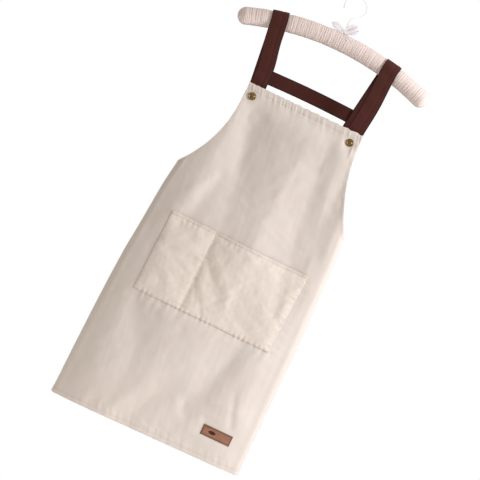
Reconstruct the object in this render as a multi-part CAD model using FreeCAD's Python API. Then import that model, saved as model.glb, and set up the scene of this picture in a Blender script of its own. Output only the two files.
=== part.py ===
"""A bib apron hanging on a padded clothes hanger, every piece as its own solid.

The hanger is a bent wooden bar inside foam and a gathered cloth cover, hung from a wire hook that swivels.
The apron is one cloth panel whose sides fold round to the back. Two straps run from snaps behind the bib,
over the padded bar and down the back to the panel's waist corners, joined by a cross strap.

Millimetres. +Z is up, +X is to the right of someone facing the apron, and the front faces -Y.
The origin is the hook's seat: the highest point inside its bend, where it rests on a rail.
"""

import FreeCAD
import Part
import math
import os

V = FreeCAD.Vector
AXIS_Y = V(0, 1, 0)
BIG = 400.0

# --- Hook -----------------------------------------------------------------------------------------
rail_r = 20.0            # inside radius of the bend
wire_r = 1.7
sleeve_wall = 0.9        # soft tube over the wire
sleeve_gap = 0.1
neck_r = 14.0            # centreline radius of the turn between shank and bend
tip_deg = 202.0          # where the bend ends, counted from +X over the top
tip_ball_r = 2.9
hook_rise = 78.0         # hook seat to the top of the padded bar
swivel_gap = 0.06        # shank in the wooden bar, on the radius
collar_r = 3.2
washer_r = 4.2
washer_t = 0.8
head_r = 3.3             # peened end of the shank
head_t = 1.2
counterbore_depth = 4.5
stack_gap = 0.1

# --- Padded bar -----------------------------------------------------------------------------------
hanger_span = 421.0      # tip to tip
arch_drop = 33.5         # ends of the bar below its middle
pad_r = 17.75            # outside radius of the padded bar
cover_t = 0.7
core_w = 12.0            # wooden bar, front to back
core_h = 20.0            # wooden bar, bottom to top
core_round = 4.0
core_reach = 0.96        # share of the arch that the wooden bar fills
layer_gap = 0.1          # between core, padding and cover
seam_gap = 0.2           # between the two halves of padding and cover
hook_hole_r = 3.8        # hole for the collar in padding and cover

# --- Bow ------------------------------------------------------------------------------------------
ribbon_t = 0.7
ribbon_w = 11.0
bow_front = -9.5         # front edge of the loops
bow_gap = 0.5            # between the bow and the hook or the cover
knot_w = 8.0
knot_h = 7.0
knot_round = 1.4

# --- Straps ---------------------------------------------------------------------------------------
strap_w = 34.0
strap_t = 1.5
saddle_gap = 1.3         # between the strap and the padded bar that it turns round
hang_offset = -4.0       # how far the apron hangs from the hanger's middle
strap_at_bar_left = 124.0     # centre of each strap from the apron's middle, at the bar
strap_at_bar_right = 117.5
strap_at_cross_left = 108.0   # the same behind, below the cross strap
strap_at_cross_right = 98.0
strap_at_bib = 108.0     # the same at the bib, for both straps
strap_tail = 45.0        # strap behind the bib, below its top edge
cross_top = 39.0         # top edge of the cross strap above the bib's top edge
cross_w = 29.0
strap_lap = 36.0         # strap sewn inside each waist corner
lap_gap = 0.1

# --- Panel ----------------------------------------------------------------------------------------
cloth_t = 1.2
bib_drop = 169.0         # top of the padded bar to the bib's top edge
apron_length = 730.0     # bib's top edge to the hem
bib_half = 125.0         # half the width of the bib's top edge
armhole_start = 23.0     # straight side below the bib's top edge
armhole_drop = 203.0     # bib's top edge to where the armhole goes round the side
left_fold_top = 187.0    # side folds from the apron's middle, at the armhole and at the hem
left_fold_hem = 218.0
right_fold_top = 180.0
right_fold_hem = 191.0
corner_drop = 47.0       # waist corners below the armhole's turn
back_gap = 140.0         # between the two back edges
skirt_depth = 46.0       # front to back
skirt_set_back = 8.0     # skirt behind the bib
waist_ease = 20.0        # height over which the skirt straightens below the armhole's turn

# --- Pocket, label and snaps ----------------------------------------------------------------------
pocket_left = -154.0     # from the apron's middle
pocket_w = 302.0
pocket_split = 101.5     # width of the small compartment
pocket_drop = 298.0      # bib's top edge to the pocket's mouth
pocket_h = 173.0
pocket_belly = 8.0       # how far the pocket stands from the panel
label_x = 119.0          # from the apron's middle
label_rise = 64.0        # label's middle above the hem
label_w = 63.5
label_h = 21.5
label_t = 1.6
label_round = 1.6
snap_drop = 24.0         # snap centre below the bib's top edge
cap_r = 8.0
cap_t = 2.2
cap_rim = 1.6
barrel_r = 1.9
socket_r = 6.0
socket_t = 2.5
socket_web = 0.8
stud_r = 2.9
stud_base_r = 5.5
stud_base_t = 0.6
stud_h = 1.75
post_r = 5.0
post_t = 0.8
post_pin_r = 1.4
snap_play = 0.1

# --- Worked out from the above --------------------------------------------------------------------
sleeve_r = wire_r + sleeve_gap + sleeve_wall
bend_r = rail_r + sleeve_r
bar_z = -(hook_rise + pad_r)
half_chord = hanger_span / 2 - pad_r
bib_top = -(hook_rise + bib_drop)
hem_z = bib_top - apron_length
arch_r = (half_chord**2 + arch_drop**2) / (2 * arch_drop)
arch_centre = V(0, 0, bar_z - arch_r)
arch_end = math.asin(half_chord / arch_r)
saddle_in = pad_r + saddle_gap
saddle_out = saddle_in + strap_t
strap_front = -saddle_out
snap_stack = stack_gap + stud_base_t + stack_gap + socket_t + stack_gap
bib_back = strap_front - snap_stack
bib_front = bib_back - cloth_t
skirt_front = bib_front + skirt_set_back
skirt_back = skirt_front + skirt_depth
fold_z = bib_top - armhole_drop
pocket_top = bib_top - pocket_drop
label_z = hem_z + label_rise
corner_z = fold_z - corner_drop
ease_z = fold_z - waist_ease
snap_z = bib_top - snap_drop
flat_z = bib_top - strap_tail - 8.0   # the bib hangs straight down to here, below the strap's tail
bow_z = bar_z + pad_r + bow_gap
SIDES = {"left": -1, "right": 1}
strap_at_bar = {"left": strap_at_bar_left, "right": strap_at_bar_right}
strap_at_cross = {"left": strap_at_cross_left, "right": strap_at_cross_right}


def box(x0, x1, y0, y1, z0, z1):
    """A box between two corners."""
    return Part.makeBox(x1 - x0, y1 - y0, z1 - z0, V(x0, y0, z0))


def disc(r, y0, y1, x, z):
    """A cylinder along Y."""
    return Part.makeCylinder(r, y1 - y0, V(x, y0, z), AXIS_Y)


def upright(r, z0, z1):
    """A cylinder along Z on the hook's axis."""
    return Part.makeCylinder(r, z1 - z0, V(0, 0, z0))


def polygon(points):
    """A closed wire through the points."""
    return Part.makePolygon(points + [points[0]])


def prism(wire_or_edges, y0, y1):
    """An outline in the XZ plane, from y0 to y1."""
    wire = Part.Wire(wire_or_edges) if isinstance(wire_or_edges, list) else wire_or_edges
    face = Part.Face(wire)
    face.translate(V(0, y0, 0))
    return face.extrude(V(0, y1 - y0, 0))


def save(name, shape):
    """Writes one sub-part as a STEP file."""
    solids = shape.Solids
    clean = solids[0] if len(solids) == 1 else Part.makeCompound(solids)
    clean.exportStep("parts/" + name + ".step")
    print(f"{name}: {len(solids)} solid, {clean.Volume / 1000:.2f} cm3, valid {clean.isValid()}")


# --- Hook -----------------------------------------------------------------------------------------
core_top = bar_z + core_h / 2
core_bottom = bar_z - core_h / 2
ceiling = core_bottom + counterbore_depth
washer_top = ceiling - stack_gap
head_top = washer_top - washer_t - stack_gap
bend_centre = V(0, 0, -rail_r)
turn = math.acos(neck_r / (bend_r + neck_r))
neck_z = -rail_r - (bend_r + neck_r) * math.sin(turn)
sleeve_start = bar_z + pad_r + 4.0


def on_bend(angle):
    """A point of the bend's centreline, at an angle counted from +X."""
    return bend_centre + V(math.cos(angle), 0, math.sin(angle)) * bend_r


def hook_path(z_start, end_deg):
    """The wire's centreline from the shank at z_start, round the neck, to a place on the bend."""
    shank = Part.makeLine(V(0, 0, z_start), V(0, 0, neck_z))
    half = turn / 2
    neck_middle = V(neck_r * (1 - math.cos(half)), 0, neck_z + neck_r * math.sin(half))
    neck = Part.Arc(V(0, 0, neck_z), neck_middle, on_bend(-turn)).toShape()
    end = math.radians(end_deg)
    bend = Part.Arc(on_bend(-turn), on_bend((end - turn) / 2), on_bend(end)).toShape()
    return Part.Wire([shank, neck, bend])


def along_hook(r, z_start, end_deg):
    """A round bar of radius r along the hook."""
    profile = Part.Wire([Part.makeCircle(r, V(0, 0, z_start), V(0, 0, 1))])
    return hook_path(z_start, end_deg).makePipeShell([profile], True, False)


def make_hook():
    wire = along_hook(wire_r, head_top - head_t / 2, tip_deg)
    head = upright(head_r, head_top - head_t, head_top)
    ball = Part.makeSphere(tip_ball_r, on_bend(math.radians(tip_deg)))
    save("hook_wire", wire.fuse([head, ball]).removeSplitter())
    ball_angle = math.degrees(tip_ball_r / bend_r)
    sleeve_end = tip_deg - ball_angle
    sleeve = along_hook(sleeve_r, sleeve_start, sleeve_end)
    bore = along_hook(wire_r + sleeve_gap, sleeve_start, sleeve_end)
    save("hook_sleeve", sleeve.cut(bore))
    collar_top = sleeve_start - stack_gap
    collar = upright(collar_r, core_top + stack_gap, collar_top)
    save("hook_collar", collar.cut(upright(wire_r + 0.03, core_top, collar_top)))
    washer = upright(washer_r, washer_top - washer_t, washer_top)
    save("hook_washer", washer.cut(upright(wire_r + stack_gap, washer_top - washer_t, washer_top)))


# --- Padded bar -----------------------------------------------------------------------------------
def bar_point(angle):
    """A point of the padded bar's centreline, at an angle from the middle of the arch."""
    return arch_centre + V(math.sin(angle), 0, math.cos(angle)) * arch_r


def bar_frame(x):
    """(centre, direction along the bar) of the bar's centreline at x."""
    angle = math.asin(x / arch_r)
    return bar_point(angle), V(math.cos(angle), 0, -math.sin(angle))


def along_arch(face, reach):
    """A face drawn at the middle of the arch, swept to both sides of it by the angle reach."""
    start = face.copy()
    start.rotate(arch_centre, AXIS_Y, -math.degrees(reach))
    return start.revolve(arch_centre, AXIS_Y, 2 * math.degrees(reach))


def padded_bar(r):
    """The whole padded bar, of radius r, with round ends."""
    section = Part.Face(Part.Wire([Part.makeCircle(r, V(0, 0, bar_z), V(1, 0, 0))]))
    ends = [Part.makeSphere(r, bar_point(side * arch_end)) for side in (-1, 1)]
    return along_arch(section, arch_end).fuse(ends)


def core_bar(grow):
    """The wooden bar, grown by grow on every side."""
    w = core_w / 2 + grow
    h = core_h / 2 + grow
    block = box(0, 1, -w, w, bar_z - h, bar_z + h)
    long_edges = [e for e in block.Edges if abs(e.tangentAt(e.FirstParameter).x) > 0.9]
    rounded = block.makeFillet(core_round + grow, long_edges)
    section = min(rounded.Faces, key=lambda f: f.CenterOfMass.x)
    return along_arch(section, arch_end * core_reach + grow / arch_r)


def half_of(shape, side):
    """The part of a shape on one side of the hanger's middle."""
    inner = side * seam_gap / 2
    outer = side * BIG
    return shape.common(box(min(inner, outer), max(inner, outer), -BIG, BIG, -BIG, 0))


def make_padded_bar():
    core = core_bar(0)
    core = core.cut(upright(wire_r + swivel_gap, bar_z - core_h, bar_z + core_h))
    core = core.cut(upright(washer_r + 0.4, bar_z - core_h, ceiling))
    save("hanger_core", core)
    hook_hole = upright(hook_hole_r, bar_z, 0)
    padding = padded_bar(pad_r - cover_t - layer_gap).cut(core_bar(layer_gap)).cut(hook_hole)
    cover = padded_bar(pad_r).cut(padded_bar(pad_r - cover_t)).cut(hook_hole)
    for name, side in SIDES.items():
        save("padding_" + name, half_of(padding, side))
        save("cover_" + name, half_of(cover, side))


# --- Bow ------------------------------------------------------------------------------------------
def ribbon_loop(x, z, long_r, short_r, tilt):
    """One loop of the bow: a flat oval ring of ribbon, tilted in the XZ plane."""
    rings = []
    for shrink in (0, ribbon_t):
        oval = Part.Ellipse(V(0, 0, 0), long_r - shrink, short_r - shrink).toShape()
        oval.rotate(V(0, 0, 0), V(1, 0, 0), 90)
        oval.rotate(V(0, 0, 0), AXIS_Y, -tilt)
        oval.translate(V(x, 0, z))
        rings.append(prism([oval], bow_front, bow_front + ribbon_w))
    return rings[0].cut(rings[1])


def make_bow():
    knot_front = bow_front - 1.0
    knot_back = -(collar_r + bow_gap)
    middle = bow_z + knot_h / 2
    knot = box(-knot_w / 2, knot_w / 2, knot_front, knot_back, bow_z, bow_z + knot_h)
    knot = knot.makeFillet(knot_round, knot.Edges)
    left = ribbon_loop(-knot_w / 2 - 13.0, middle + 4.5, 14.0, 5.5, -22.0)
    right = ribbon_loop(knot_w / 2 + 7.0, middle + 8.0, 12.0, 8.5, 48.0)
    centre, along = bar_frame(7.0)
    tail = saddle(centre, along, 8.0, pad_r + bow_gap, pad_r + bow_gap + ribbon_t, -12, -62)
    around = [upright(collar_r + bow_gap, bow_z - knot_h, 0), padded_bar(pad_r + bow_gap / 2), knot]
    loops = left.fuse(right).cut(around)
    save("bow_ribbon", Part.makeCompound(loops.Solids + tail.cut(knot).Solids))
    save("bow_knot", knot)


# --- Straps ---------------------------------------------------------------------------------------
def saddle(centre, along, width, r_in, r_out, from_deg, to_deg):
    """A band that turns round the bar: 0 degrees is its front, -90 its top and -180 its back."""
    half = along * (width / 2)
    corners = [centre - half, centre + half]
    inner = [c - V(0, r_in, 0) for c in corners]
    outer = [c - V(0, r_out, 0) for c in reversed(corners)]
    face = Part.Face(polygon(inner + outer))
    face.rotate(centre, along, from_deg)
    return face.revolve(centre, along, to_deg - from_deg)


def strap_section(middle, half_along, y_in, y_out):
    """A strap's cross section: the wire round it, at a place on its centreline."""
    a = middle - half_along
    b = middle + half_along
    return polygon([V(a.x, y_in, a.z), V(b.x, y_in, b.z), V(b.x, y_out, b.z), V(a.x, y_out, a.z)])


def make_strap(name, side):
    centre, along = bar_frame(hang_offset + side * strap_at_bar[name])
    over = saddle(centre, along, strap_w, saddle_in, saddle_out, 0, -180)
    flat_half = V(strap_w / 2, 0, 0)
    slope_half = along * (strap_w / 2)
    bib_x = hang_offset + side * strap_at_bib
    front = Part.makeLoft(
        [
            strap_section(centre, slope_half, -saddle_in, -saddle_out),
            strap_section(V(bib_x, 0, bib_top), flat_half, -saddle_in, -saddle_out),
            strap_section(V(bib_x, 0, bib_top - strap_tail), flat_half, -saddle_in, -saddle_out),
        ],
        True,
        True,
    )
    corner_x = hang_offset + side * (back_gap / 2 + strap_w / 2 + 4.0)
    lap_out = skirt_back - cloth_t - lap_gap
    cross_bottom = bib_top + cross_top - cross_w
    straight_end = cross_bottom - 8.0
    level_x = hang_offset + side * strap_at_cross[name]
    back = Part.makeLoft(
        [
            strap_section(centre, slope_half, saddle_in, saddle_out),
            strap_section(V(level_x, 0, straight_end), flat_half, saddle_in, saddle_out),
            strap_section(V(corner_x, 0, corner_z), flat_half, lap_out - strap_t, lap_out),
            strap_section(V(corner_x, 0, corner_z - strap_lap), flat_half, lap_out - strap_t, lap_out),
        ],
        True,
        True,
    )
    strap = over.fuse([front, back])
    hole = disc(post_pin_r + snap_play, -saddle_out - 1, -saddle_in + 1, bib_x, snap_z)
    save("strap_" + name, strap.cut(hole))
    return level_x


def make_straps():
    reach = [make_strap(name, side) for name, side in SIDES.items()]
    y0 = saddle_out + lap_gap
    top = bib_top + cross_top
    ends = 6.0
    cross = box(reach[0] - ends, reach[1] + ends, y0, y0 + strap_t, top - cross_w, top)
    save("cross_strap", cross)


# --- Panel ----------------------------------------------------------------------------------------
def panel_section(z, left, right, front):
    """The panel's cross section at one height: a flat C, open at the back."""
    r = skirt_depth / 2
    back = front + skirt_depth
    x0 = hang_offset - left + r
    x1 = hang_offset + right - r
    ends = [hang_offset - back_gap / 2, hang_offset + back_gap / 2]

    def side(x, sign, radius):
        y = front + r
        return [V(x, y - radius, z), V(x + sign * radius, y, z), V(x, y + radius, z)]

    lo, ro = side(x0, -1, r), side(x1, 1, r)
    li, ri = side(x0, -1, r - cloth_t), side(x1, 1, r - cloth_t)
    edges = [
        Part.makeLine(V(ends[0], back, z), lo[2]),
        Part.Arc(lo[2], lo[1], lo[0]).toShape(),
        Part.makeLine(lo[0], ro[0]),
        Part.Arc(ro[0], ro[1], ro[2]).toShape(),
        Part.makeLine(ro[2], V(ends[1], back, z)),
        Part.makeLine(V(ends[1], back, z), V(ends[1], back - cloth_t, z)),
        Part.makeLine(V(ends[1], back - cloth_t, z), ri[2]),
        Part.Arc(ri[2], ri[1], ri[0]).toShape(),
        Part.makeLine(ri[0], li[0]),
        Part.Arc(li[0], li[1], li[2]).toShape(),
        Part.makeLine(li[2], V(ends[0], back - cloth_t, z)),
        Part.makeLine(V(ends[0], back - cloth_t, z), V(ends[0], back, z)),
    ]
    return Part.Wire(edges)


def armhole_cutters(side, fold):
    """What the armhole takes from the front of one side, and from its back."""
    top = bib_top + 20.0
    outside = BIG
    start = bib_top - armhole_start
    dx = fold - bib_half
    dz = start - fold_z
    r = (dx**2 + dz**2) / (2 * dx)
    half = math.asin(dz / r) / 2

    def at(x, z):
        return V(hang_offset + side * x, 0, z)

    middle = at(bib_half + r * (1 - math.cos(half)), start - r * math.sin(half))
    front_edges = [
        Part.makeLine(at(bib_half, top), at(bib_half, start)),
        Part.Arc(at(bib_half, start), middle, at(fold, fold_z)).toShape(),
        Part.makeLine(at(fold, fold_z), at(outside, fold_z)),
        Part.makeLine(at(outside, fold_z), at(outside, top)),
        Part.makeLine(at(outside, top), at(bib_half, top)),
    ]
    inside = back_gap / 4
    back_points = [
        at(inside, top),
        at(inside, corner_z),
        at(back_gap / 2, corner_z),
        at(fold, fold_z),
        at(outside, fold_z),
        at(outside, top),
    ]
    middle_y = skirt_front + skirt_depth / 2
    return [prism(front_edges, -BIG, middle_y), prism(polygon(back_points), middle_y, BIG)]


def make_panel():
    levels = [
        panel_section(bib_top, left_fold_top, right_fold_top, bib_front),
        panel_section(flat_z, left_fold_top, right_fold_top, bib_front),
        panel_section(ease_z, left_fold_top, right_fold_top, skirt_front),
        panel_section(hem_z, left_fold_hem, right_fold_hem, skirt_front),
    ]
    panel = Part.makeLoft(levels, True, True)
    panel = panel.cut(armhole_cutters(-1, left_fold_top) + armhole_cutters(1, right_fold_top))
    for side in SIDES.values():
        x = hang_offset + side * strap_at_bib
        panel = panel.cut(disc(barrel_r + snap_play, bib_front - 1, bib_back + 1, x, snap_z))
    save("apron_panel", panel)


# --- Pocket, label and snaps ----------------------------------------------------------------------
def make_pocket():
    x0 = hang_offset + pocket_left
    x1 = x0 + pocket_w
    bottom = pocket_top - pocket_h
    y1 = skirt_front - lap_gap
    y0 = y1 - pocket_belly
    tray = box(x0, x1, y0, y1, bottom, pocket_top)
    split = x0 + pocket_split
    for left, right in ((x0 + cloth_t, split), (split + cloth_t, x1 - cloth_t)):
        tray = tray.cut(box(left, right, y0 + cloth_t, y1 + 1, bottom + cloth_t, pocket_top + 1))
    save("pocket_patch", tray)


def make_label():
    x = hang_offset + label_x
    y1 = skirt_front - lap_gap
    half_w, half_h = label_w / 2, label_h / 2
    patch = box(x - half_w, x + half_w, y1 - label_t, y1, label_z - half_h, label_z + half_h)
    corners = [e for e in patch.Edges if abs(e.tangentAt(e.FirstParameter).y) > 0.9]
    save("label_patch", patch.makeFillet(label_round, corners))


def make_snap(name, side):
    x = hang_offset + side * strap_at_bib
    cap_back = bib_front - stack_gap
    socket_front = bib_back + stack_gap
    socket_back = socket_front + socket_t
    recess = socket_front + socket_web
    stud_back = strap_front - stack_gap
    stud_face = stud_back - stud_base_t
    stud_tip = stud_face - stud_h
    post_front = -saddle_in + stack_gap

    cap = disc(cap_r, cap_back - cap_t, cap_back, x, snap_z)
    dish = disc(cap_r - cap_rim, cap_back - cap_t, cap_back - cap_t / 2, x, snap_z)
    dome = disc(cap_r / 2, cap_back - cap_t, cap_back - cap_t / 2, x, snap_z)
    barrel = disc(barrel_r, cap_back, recess - snap_play, x, snap_z)
    save("snap_cap_" + name, cap.cut(dish).fuse([dome, barrel]).removeSplitter())

    socket = disc(socket_r, socket_front, socket_back, x, snap_z)
    socket = socket.cut(disc(barrel_r + snap_play / 2, socket_front, recess, x, snap_z))
    save("snap_socket_" + name, socket.cut(disc(stud_r + snap_play, recess, socket_back, x, snap_z)))

    stud = disc(stud_base_r, stud_face, stud_back, x, snap_z)
    stud = stud.fuse(disc(stud_r, stud_tip, stud_face, x, snap_z))
    stud = stud.cut(disc(post_pin_r + snap_play / 2, stud_tip, stud_back, x, snap_z))
    save("snap_stud_" + name, stud.removeSplitter())

    post = disc(post_r, post_front, post_front + post_t, x, snap_z)
    pin = disc(post_pin_r, stud_tip + snap_play, post_front, x, snap_z)
    save("snap_post_" + name, post.fuse(pin).removeSplitter())


os.makedirs("parts", exist_ok=True)
make_hook()
make_padded_bar()
make_bow()
make_straps()
make_panel()
make_pocket()
make_label()
for side_name, side_sign in SIDES.items():
    make_snap(side_name, side_sign)
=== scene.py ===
# %% [markdown]
# # A bib apron on a padded hanger
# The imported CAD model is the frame: the hook, the hanger and the apron are its three bodies, and the main
# places in this lesson are worked out from its nodes. Cloth is what the CAD leaves plain, so nearly every
# piece here is cloth: the apron's panel and pocket, the straps, the gathered covers of the hanger and the
# little bow.

# %% Load the frame
import math

import bmesh
import bpy
import numpy as np
from mathutils import Matrix, Vector


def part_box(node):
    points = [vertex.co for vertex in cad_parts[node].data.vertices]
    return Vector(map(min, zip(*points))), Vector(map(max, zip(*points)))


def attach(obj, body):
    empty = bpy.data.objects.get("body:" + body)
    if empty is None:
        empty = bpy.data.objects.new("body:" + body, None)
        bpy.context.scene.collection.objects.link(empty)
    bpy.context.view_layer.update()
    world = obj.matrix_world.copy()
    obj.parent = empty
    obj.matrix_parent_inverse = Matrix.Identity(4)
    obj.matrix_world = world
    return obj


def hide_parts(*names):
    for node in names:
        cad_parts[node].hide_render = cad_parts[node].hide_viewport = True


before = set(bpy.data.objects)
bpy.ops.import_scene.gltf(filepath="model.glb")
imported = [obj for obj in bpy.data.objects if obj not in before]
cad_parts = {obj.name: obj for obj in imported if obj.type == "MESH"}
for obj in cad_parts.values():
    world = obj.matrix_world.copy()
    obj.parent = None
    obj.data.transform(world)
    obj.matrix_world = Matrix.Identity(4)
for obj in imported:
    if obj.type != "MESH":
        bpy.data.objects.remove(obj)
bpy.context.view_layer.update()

MM = 0.001


def place(node):
    """Lowest and highest corner of a CAD node, in millimetres."""
    low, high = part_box(node)
    return np.array(low) / MM, np.array(high) / MM


# %% [markdown]
# ## Small tools for shapes
# Cloth is easiest to make as a grid of points: a formula gives the place of each point, and the grid
# becomes a mesh. The formulas work in millimetres on whole arrays, so a panel of forty thousand points
# takes no loop.


# %% Turn a grid of points into a mesh
def grid_faces(rows, columns, around=False):
    """The four corners of each face of a grid; with around, the last column meets the first."""
    corner = np.arange(rows * columns).reshape(rows, columns)
    right = np.roll(corner, -1, axis=1)
    if not around:
        corner, right = corner[:, :-1], right[:, :-1]
    faces = [corner[:-1], corner[1:], right[1:], right[:-1]]
    return np.stack([f.ravel() for f in faces], axis=1).tolist()


def new_piece(name, points, faces, uv=None):
    """A smooth mesh object from points in millimetres; uv holds one pair of millimetres for each point."""
    mesh = bpy.data.meshes.new(name)
    mesh.from_pydata((np.asarray(points) * MM).tolist(), [], list(faces))
    if uv is not None:
        layer = mesh.uv_layers.new(name="UVMap")
        corners = np.zeros(len(mesh.loops), np.int32)
        mesh.loops.foreach_get("vertex_index", corners)
        layer.data.foreach_set("uv", (np.asarray(uv)[corners] * MM).astype(np.float32).ravel())
    mesh.polygons.foreach_set("use_smooth", np.ones(len(mesh.polygons), bool))
    mesh.update()
    piece = bpy.data.objects.new(name, mesh)
    bpy.context.scene.collection.objects.link(piece)
    return piece


def thicken(piece, thickness):
    """Gives a sheet its thickness, behind its outer face."""
    solid = piece.modifiers.new("thickness", "SOLIDIFY")
    solid.thickness, solid.offset = thickness * MM, -1
    solid.use_even_offset = True


def cloth_piece(name, grid, uv, thickness):
    """A grid of cloth, its outer face where the points are."""
    rows, columns = grid.shape[:2]
    piece = new_piece(name, grid.reshape(-1, 3), grid_faces(rows, columns), uv.reshape(-1, 2))
    thicken(piece, thickness)
    print(name, rows, "x", columns, "points")
    return piece


def face_outwards(piece):
    """Merges doubles and turns every face outwards."""
    shape = bmesh.new()
    shape.from_mesh(piece.data)
    bmesh.ops.remove_doubles(shape, verts=shape.verts, dist=0.00002)
    bmesh.ops.recalc_face_normals(shape, faces=shape.faces)
    shape.to_mesh(piece.data)
    shape.free()


def closed_piece(name, rings, uv=None):
    """Rings of points, one after another, joined into a closed form; its ends are capped."""
    rows, columns = rings.shape[:2]
    faces = grid_faces(rows, columns, around=True)
    faces += [list(range(columns)), list(range((rows - 1) * columns, rows * columns))]
    piece = new_piece(name, rings.reshape(-1, 3), faces, None if uv is None else uv.reshape(-1, 2))
    face_outwards(piece)
    return piece


# %% Soft steps, ridges and uneven waves
def rise(t):
    """Goes softly from 0 to 1 as t goes from 0 to 1."""
    t = np.clip(t, 0, 1)
    return t * t * (3 - 2 * t)


def bell(t):
    """1 at t = 0 and nearly 0 past 2 on both sides."""
    return np.exp(-np.square(t))


def uneven(t, length, seed, spread=0.35, count=5):
    """A wave about one unit high along t, with crests about length apart."""
    draw = np.random.default_rng(seed)
    total = 0
    for _ in range(count):
        step = length * (1 + spread * draw.uniform(-1, 1))
        total = total + np.sin(2 * np.pi * (t / step + draw.uniform()))
    return total / math.sqrt(count)


def fold(x, z, start, end, spread, height):
    """A ridge from start to end, or a valley where height is negative.

    Spread and height may change on the way, so each is given at the start and at the end.
    """
    along = np.array(end, float) - np.array(start, float)
    share = ((x - start[0]) * along[0] + (z - start[1]) * along[1]) / (along @ along)
    share = np.clip(share, 0, 1)
    off_x, off_z = x - start[0] - share * along[0], z - start[1] - share * along[1]
    width = spread[0] + (spread[1] - spread[0]) * share
    return (height[0] + (height[1] - height[0]) * share) * bell(np.hypot(off_x, off_z) / width)


def rumple(x, z, size, seed):
    """Soft, uneven lumps about one unit high and size across, as in washed cotton."""
    draw = np.random.default_rng(seed)
    total = 0
    for _ in range(9):
        turn, step = draw.uniform(0, 2 * math.pi), size * draw.uniform(0.7, 1.6)
        bend = 0.5 * np.sin(2 * np.pi * (x * draw.uniform(-1, 1) + z * draw.uniform(-1, 1)) / (size * 3))
        along = (x * math.cos(turn) + z * math.sin(turn)) / step
        total = total + np.sin(2 * np.pi * (along + draw.uniform() + bend))
    return total / 3


# %% [markdown]
# ## Light, floor and camera
# The apron hangs free, so the floor is a plain pale disc far under it. A large soft light stands far round
# to the right and rakes across the cloth: folds only show when light meets them from the side. A weaker one
# behind keeps the back from going flat, and a pale sky, a little brighter above, fills the shadows. The
# camera is rolled, which is why the apron hangs aslant in the picture though it hangs plumb here.

# %% Camera
apron_low, apron_high = place("apron_panel")
bar_low, bar_high = place("cover_left")
BAR_TOP = bar_high[2]
VIEW_WIDTH = 958.5
CAMERA_AWAY = 6000.0
SENSOR = 36.0
ROLL = 25.5
view_middle = Vector((-10.5, 0, BAR_TOP - 462.5)) * MM

camera_data = bpy.data.cameras.new("camera")
camera_data.sensor_width = SENSOR
camera_data.lens = SENSOR * CAMERA_AWAY / VIEW_WIDTH
camera = bpy.data.objects.new("camera", camera_data)
camera.location = view_middle + Vector((0, (apron_low[1] - CAMERA_AWAY) * MM, 0))
roll = Matrix.Rotation(math.radians(ROLL), 4, "Z")
camera.rotation_euler = (Matrix.Rotation(math.radians(90), 4, "X") @ roll).to_euler()
bpy.context.scene.collection.objects.link(camera)
bpy.context.scene.camera = camera
print("lens", round(camera_data.lens, 1), "mm")


# %% Lights and sky
def soft_light(name, at, size, power, tint=(1, 1, 1)):
    """A square area light at a place in metres, aimed at the middle of the view."""
    data = bpy.data.lights.new(name, "AREA")
    data.size, data.energy, data.color = size, power, tint
    light = bpy.data.objects.new(name, data)
    light.location = at
    light.rotation_euler = (view_middle - Vector(at)).to_track_quat("-Z", "Y").to_euler()
    bpy.context.scene.collection.objects.link(light)
    print(name, power, "W")


soft_light("key_light", (2.15, -0.98, 0.5), 0.9, 61, (0.89, 0.935, 1.0))
soft_light("back_light", (-1.6, 2.6, 0.6), 2.0, 12)

world = bpy.data.worlds.new("sky")
world.use_nodes = True
bpy.context.scene.world = world
sky = world.node_tree.nodes["Background"]
bpy.context.scene.view_settings.view_transform = "Standard"

# %% [markdown]
# ## Shader maths as Python
# A material is a tree of nodes. Wiring many small Math nodes by hand is hard to read, so a class holds one
# socket and gives it Python's own operators: `1 - mask * 0.4` then adds the nodes. One more class adds
# every other kind of node, with its settings first and then its inputs.


# %% Values that can be added and multiplied
class Value:
    """A node's output, with Python's arithmetic."""

    def __init__(self, maker, socket):
        self.maker, self.socket = maker, socket

    def math(self, operation, *others):
        node = self.maker.add("ShaderNodeMath", {"operation": operation}, dict(enumerate([self, *others])))
        return Value(self.maker, node.outputs[0])

    def __add__(self, other):
        return self.math("ADD", other)

    def __sub__(self, other):
        return self.math("SUBTRACT", other)

    def __mul__(self, other):
        return self.math("MULTIPLY", other)

    def __truediv__(self, other):
        return self.math("DIVIDE", other)

    def __rsub__(self, other):
        return (self * -1).math("ADD", other)

    __radd__, __rmul__ = __add__, __mul__


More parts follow.
